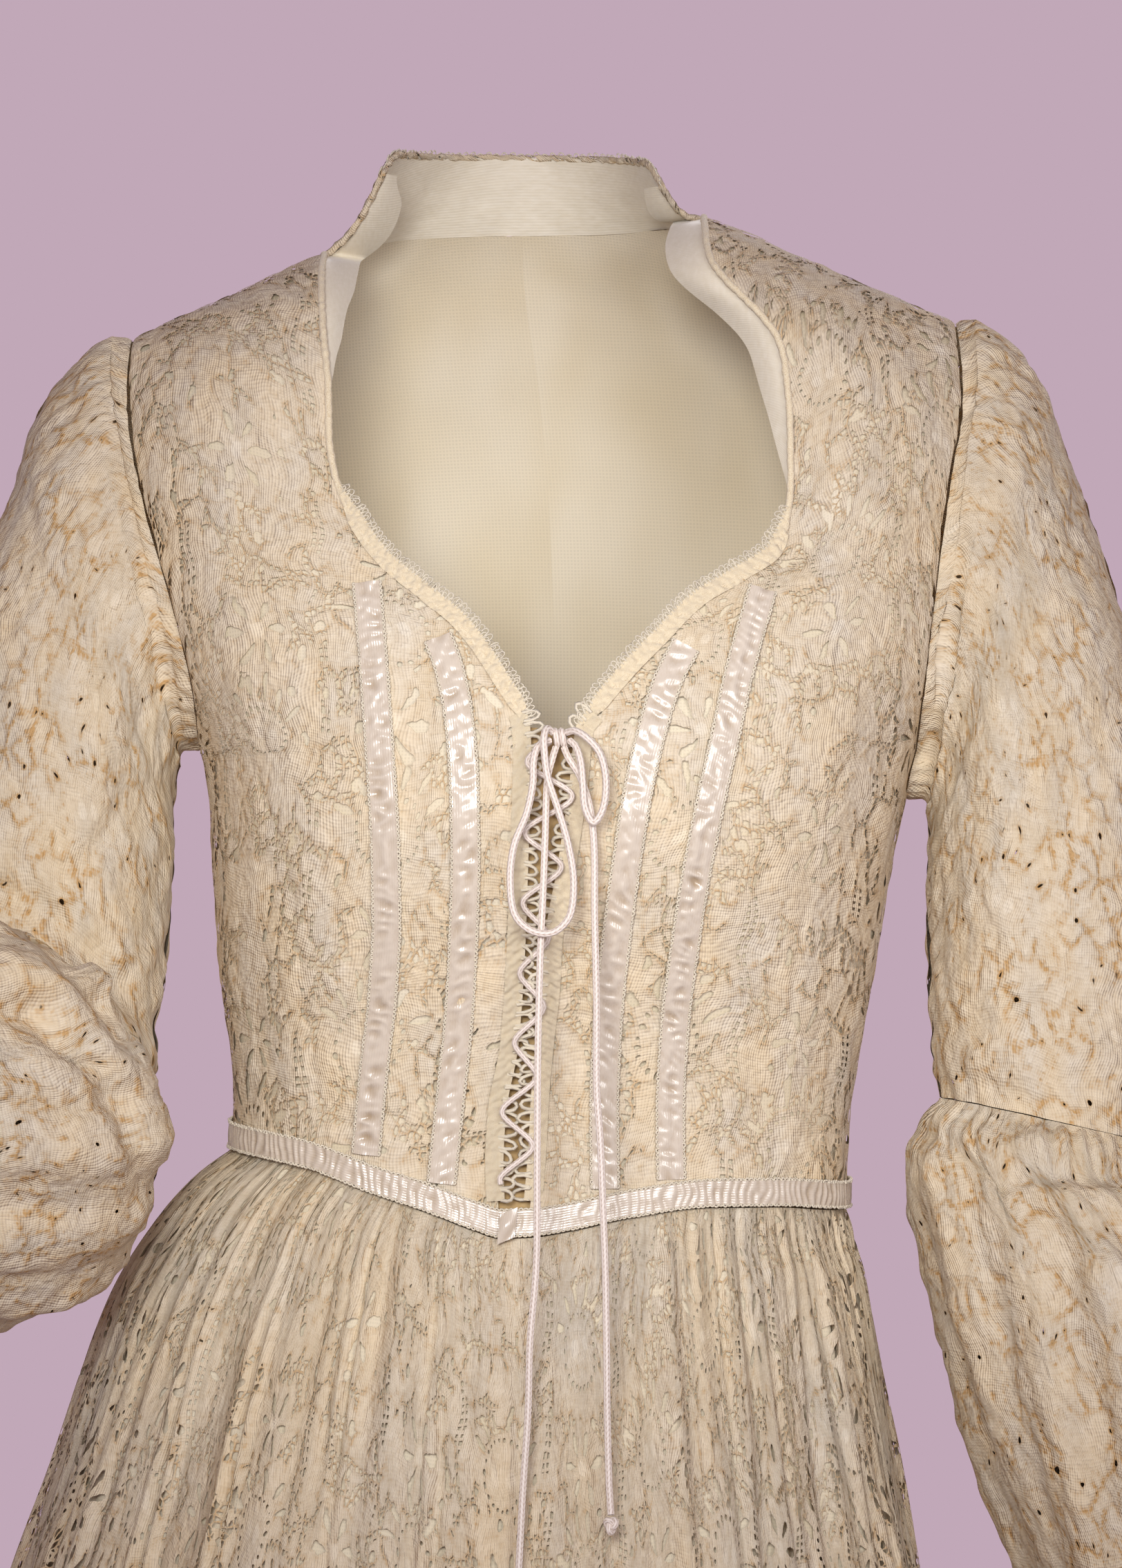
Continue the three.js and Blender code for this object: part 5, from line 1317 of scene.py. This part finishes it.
for side in SIDES:
    for half in FACES:
        u, v = np.meshgrid(np.linspace(0, 1, 80), np.linspace(0, 0.9985, 145))
        points, inside = sleeve(side, half, u, v * 10)
        flat = np.stack([lengths(points, 1) + (0 if half == "front" else 180),
                         lengths(points, 0)[-1:] - lengths(points, 0)], -1)
        height = (-0.6 + 0.5 * ripple(flat[..., 0], flat[..., 1], 11, 120, 1.3)
                  + 1.1 * ripple(flat[..., 0], flat[..., 1], 48, 122, 2.2) * np.sin(np.pi * v) ** 0.5
                  + troughs(points, SLEEVE_CREASES[side]) * (1 if half == "front" else 0.7))
        # Fine gathers ease the sleeve's head into the armhole
        height = height + 0.9 * np.exp(-v * 10 / 0.9) * np.sin(46 * u * np.pi) * np.minimum(v * 60, 1)
        shown = lifted(points, inside, height)
        upper = put(f"sleeve_upper_{half}_{side}_cluny", shown, grid_faces(145, 80), firm_lace_material,
                    f"sleeve_upper_{half}_{side}", "lace", flat=flat)

        u, v = np.meshgrid(np.linspace(0, 1, 105), np.linspace(0.001, 0.9985, 150))
        points, inside = sleeve(side, half, u, 10 + 8 * v)
        down = lengths(points, 0)
        flat = np.stack([u * 320 + (0 if half == "front" else 320), down[-1:] - down], -1)
        ends = np.exp(-down / 26) + np.exp(-(down[-1:] - down) / 30)
        start = np.minimum(down / 4, 1)
        gathers = (1.5 * np.sin(2 * np.pi * flat[..., 0] / 15 + ripple(u * 60, v * 8, 12, 133))
                   + 0.7 * np.sin(2 * np.pi * flat[..., 0] / 6.3))
        height = (-0.6 + 0.65 * ripple(flat[..., 0], flat[..., 1], 12, 130, 1.4)
                  + 2.3 * ripple(flat[..., 0], flat[..., 1], 70, 132, 2.0) * np.sin(np.pi * v) ** 0.7
                  + start * ends * gathers
                  + troughs(points, SLEEVE_CREASES[side]) * (1.3 if half == "front" else 0.9))
        shown = lifted(points, inside, height)
        lower = put(f"sleeve_lower_{half}_{side}_cluny", shown, grid_faces(150, 105), firm_lace_material,
                    f"sleeve_lower_{half}_{side}", "lace", flat=flat)


# Cuffs: plain bands of doubled lace round the wrists, which the lower sleeves are gathered into.
for side in SIDES:
    u, v = np.meshgrid(np.arange(120) / 120, np.linspace(0, 1, 20))
    front, _ = sleeve(side, "front", np.minimum(u * 2, 1), 18.02 + 0.98 * v)
    back, inside = sleeve(side, "back", np.maximum(u * 2 - 1, 0), 18.02 + 0.98 * v)
    points = np.where((u <= 0.5)[..., None], front, back)
    flat = np.stack([u * 205, lengths(points, 0)], -1)
    outer = lifted(points, inside, -0.4 + 0.2 * ripple(flat[..., 0], flat[..., 1], 12, 140))
    inner = lifted(points, inside, -1.8 + 0 * u)
    both = np.concatenate([outer, inner[::-1], outer[:1]])
    flat = np.concatenate([flat, flat[::-1], flat[:1]])
    cuff = put(f"cuff_{side}_cluny", both, grid_faces(len(both), 120, ring=True), lace_material,
               f"cuff_{side}", "lace", flat=flat)


# Studio: a plain pale floor under the hem, a sheet of mauve paper behind, and soft light from two
# lamps in front and one behind, the strongest near the middle of the front.
FLOOR_RADIUS = 3.2
MAUVE = "#C1A8B8"
floor_mesh = bpy.data.meshes.new("floor")
ring = [(FLOOR_RADIUS * math.cos(a), FLOOR_RADIUS * math.sin(a), HEM_Z * MM - 0.002)
        for a in np.linspace(0, 2 * math.pi, 65)[:-1]]
floor_mesh.from_pydata(ring, [], [tuple(range(64))])
floor = bpy.data.objects.new("floor", floor_mesh)
bpy.context.scene.collection.objects.link(floor)
floor_material, tree, shader = new_material("matt_painted_floor", {
    "Base Color": linear("#D9CDD6"), "Roughness": 0.8})
floor.data.materials.append(floor_material)

backdrop_mesh = bpy.data.meshes.new("backdrop")
backdrop_mesh.from_pydata([(-2, 3.4, HEM_Z * MM), (2, 3.4, HEM_Z * MM), (2, 3.4, 1.6), (-2, 3.4, 1.6)], [],
                          [(0, 1, 2, 3)])
backdrop = bpy.data.objects.new("backdrop", backdrop_mesh)
bpy.context.scene.collection.objects.link(backdrop)
# Evenly lit paper, so that its colour is the same all over
backdrop_material, tree, shader = new_material("mauve_backdrop_paper", {
    "Base Color": (0, 0, 0, 1), "Roughness": 1.0, "Specular IOR Level": 0.0,
    "Emission Color": linear(MAUVE), "Emission Strength": 1.0})
backdrop.data.materials.append(backdrop_material)

world = bpy.data.worlds.new("studio")
bpy.context.scene.world = world
world.use_nodes = True
world.node_tree.nodes["Background"].inputs["Color"].default_value = linear(MAUVE)
world.node_tree.nodes["Background"].inputs["Strength"].default_value = 0.42

for name, place, size, power, colour in (
        ("key", (-0.15, -1.6, 0.05), 0.5, 1.17, "#FBFDFF"),
        ("fill", (0.6, -1.7, -0.1), 0.8, 0.75, "#FAFCFF"),
        ("rear", (0.6, 2.2, 0.9), 1.5, 26, "#FFFFFF")):
    lamp = bpy.data.lights.new(name, "AREA")
    lamp.shape = "DISK"
    lamp.size = size
    lamp.energy = power
    lamp.spread = math.radians(39 if name != "rear" else 150)
    lamp.color = linear(colour)[:3]
    holder = bpy.data.objects.new(name, lamp)
    holder.location = place
    holder.rotation_euler = (Vector((0.03, 0, -0.23)) - Vector(place)).to_track_quat("-Z", "Y").to_euler()
    bpy.context.scene.collection.objects.link(holder)
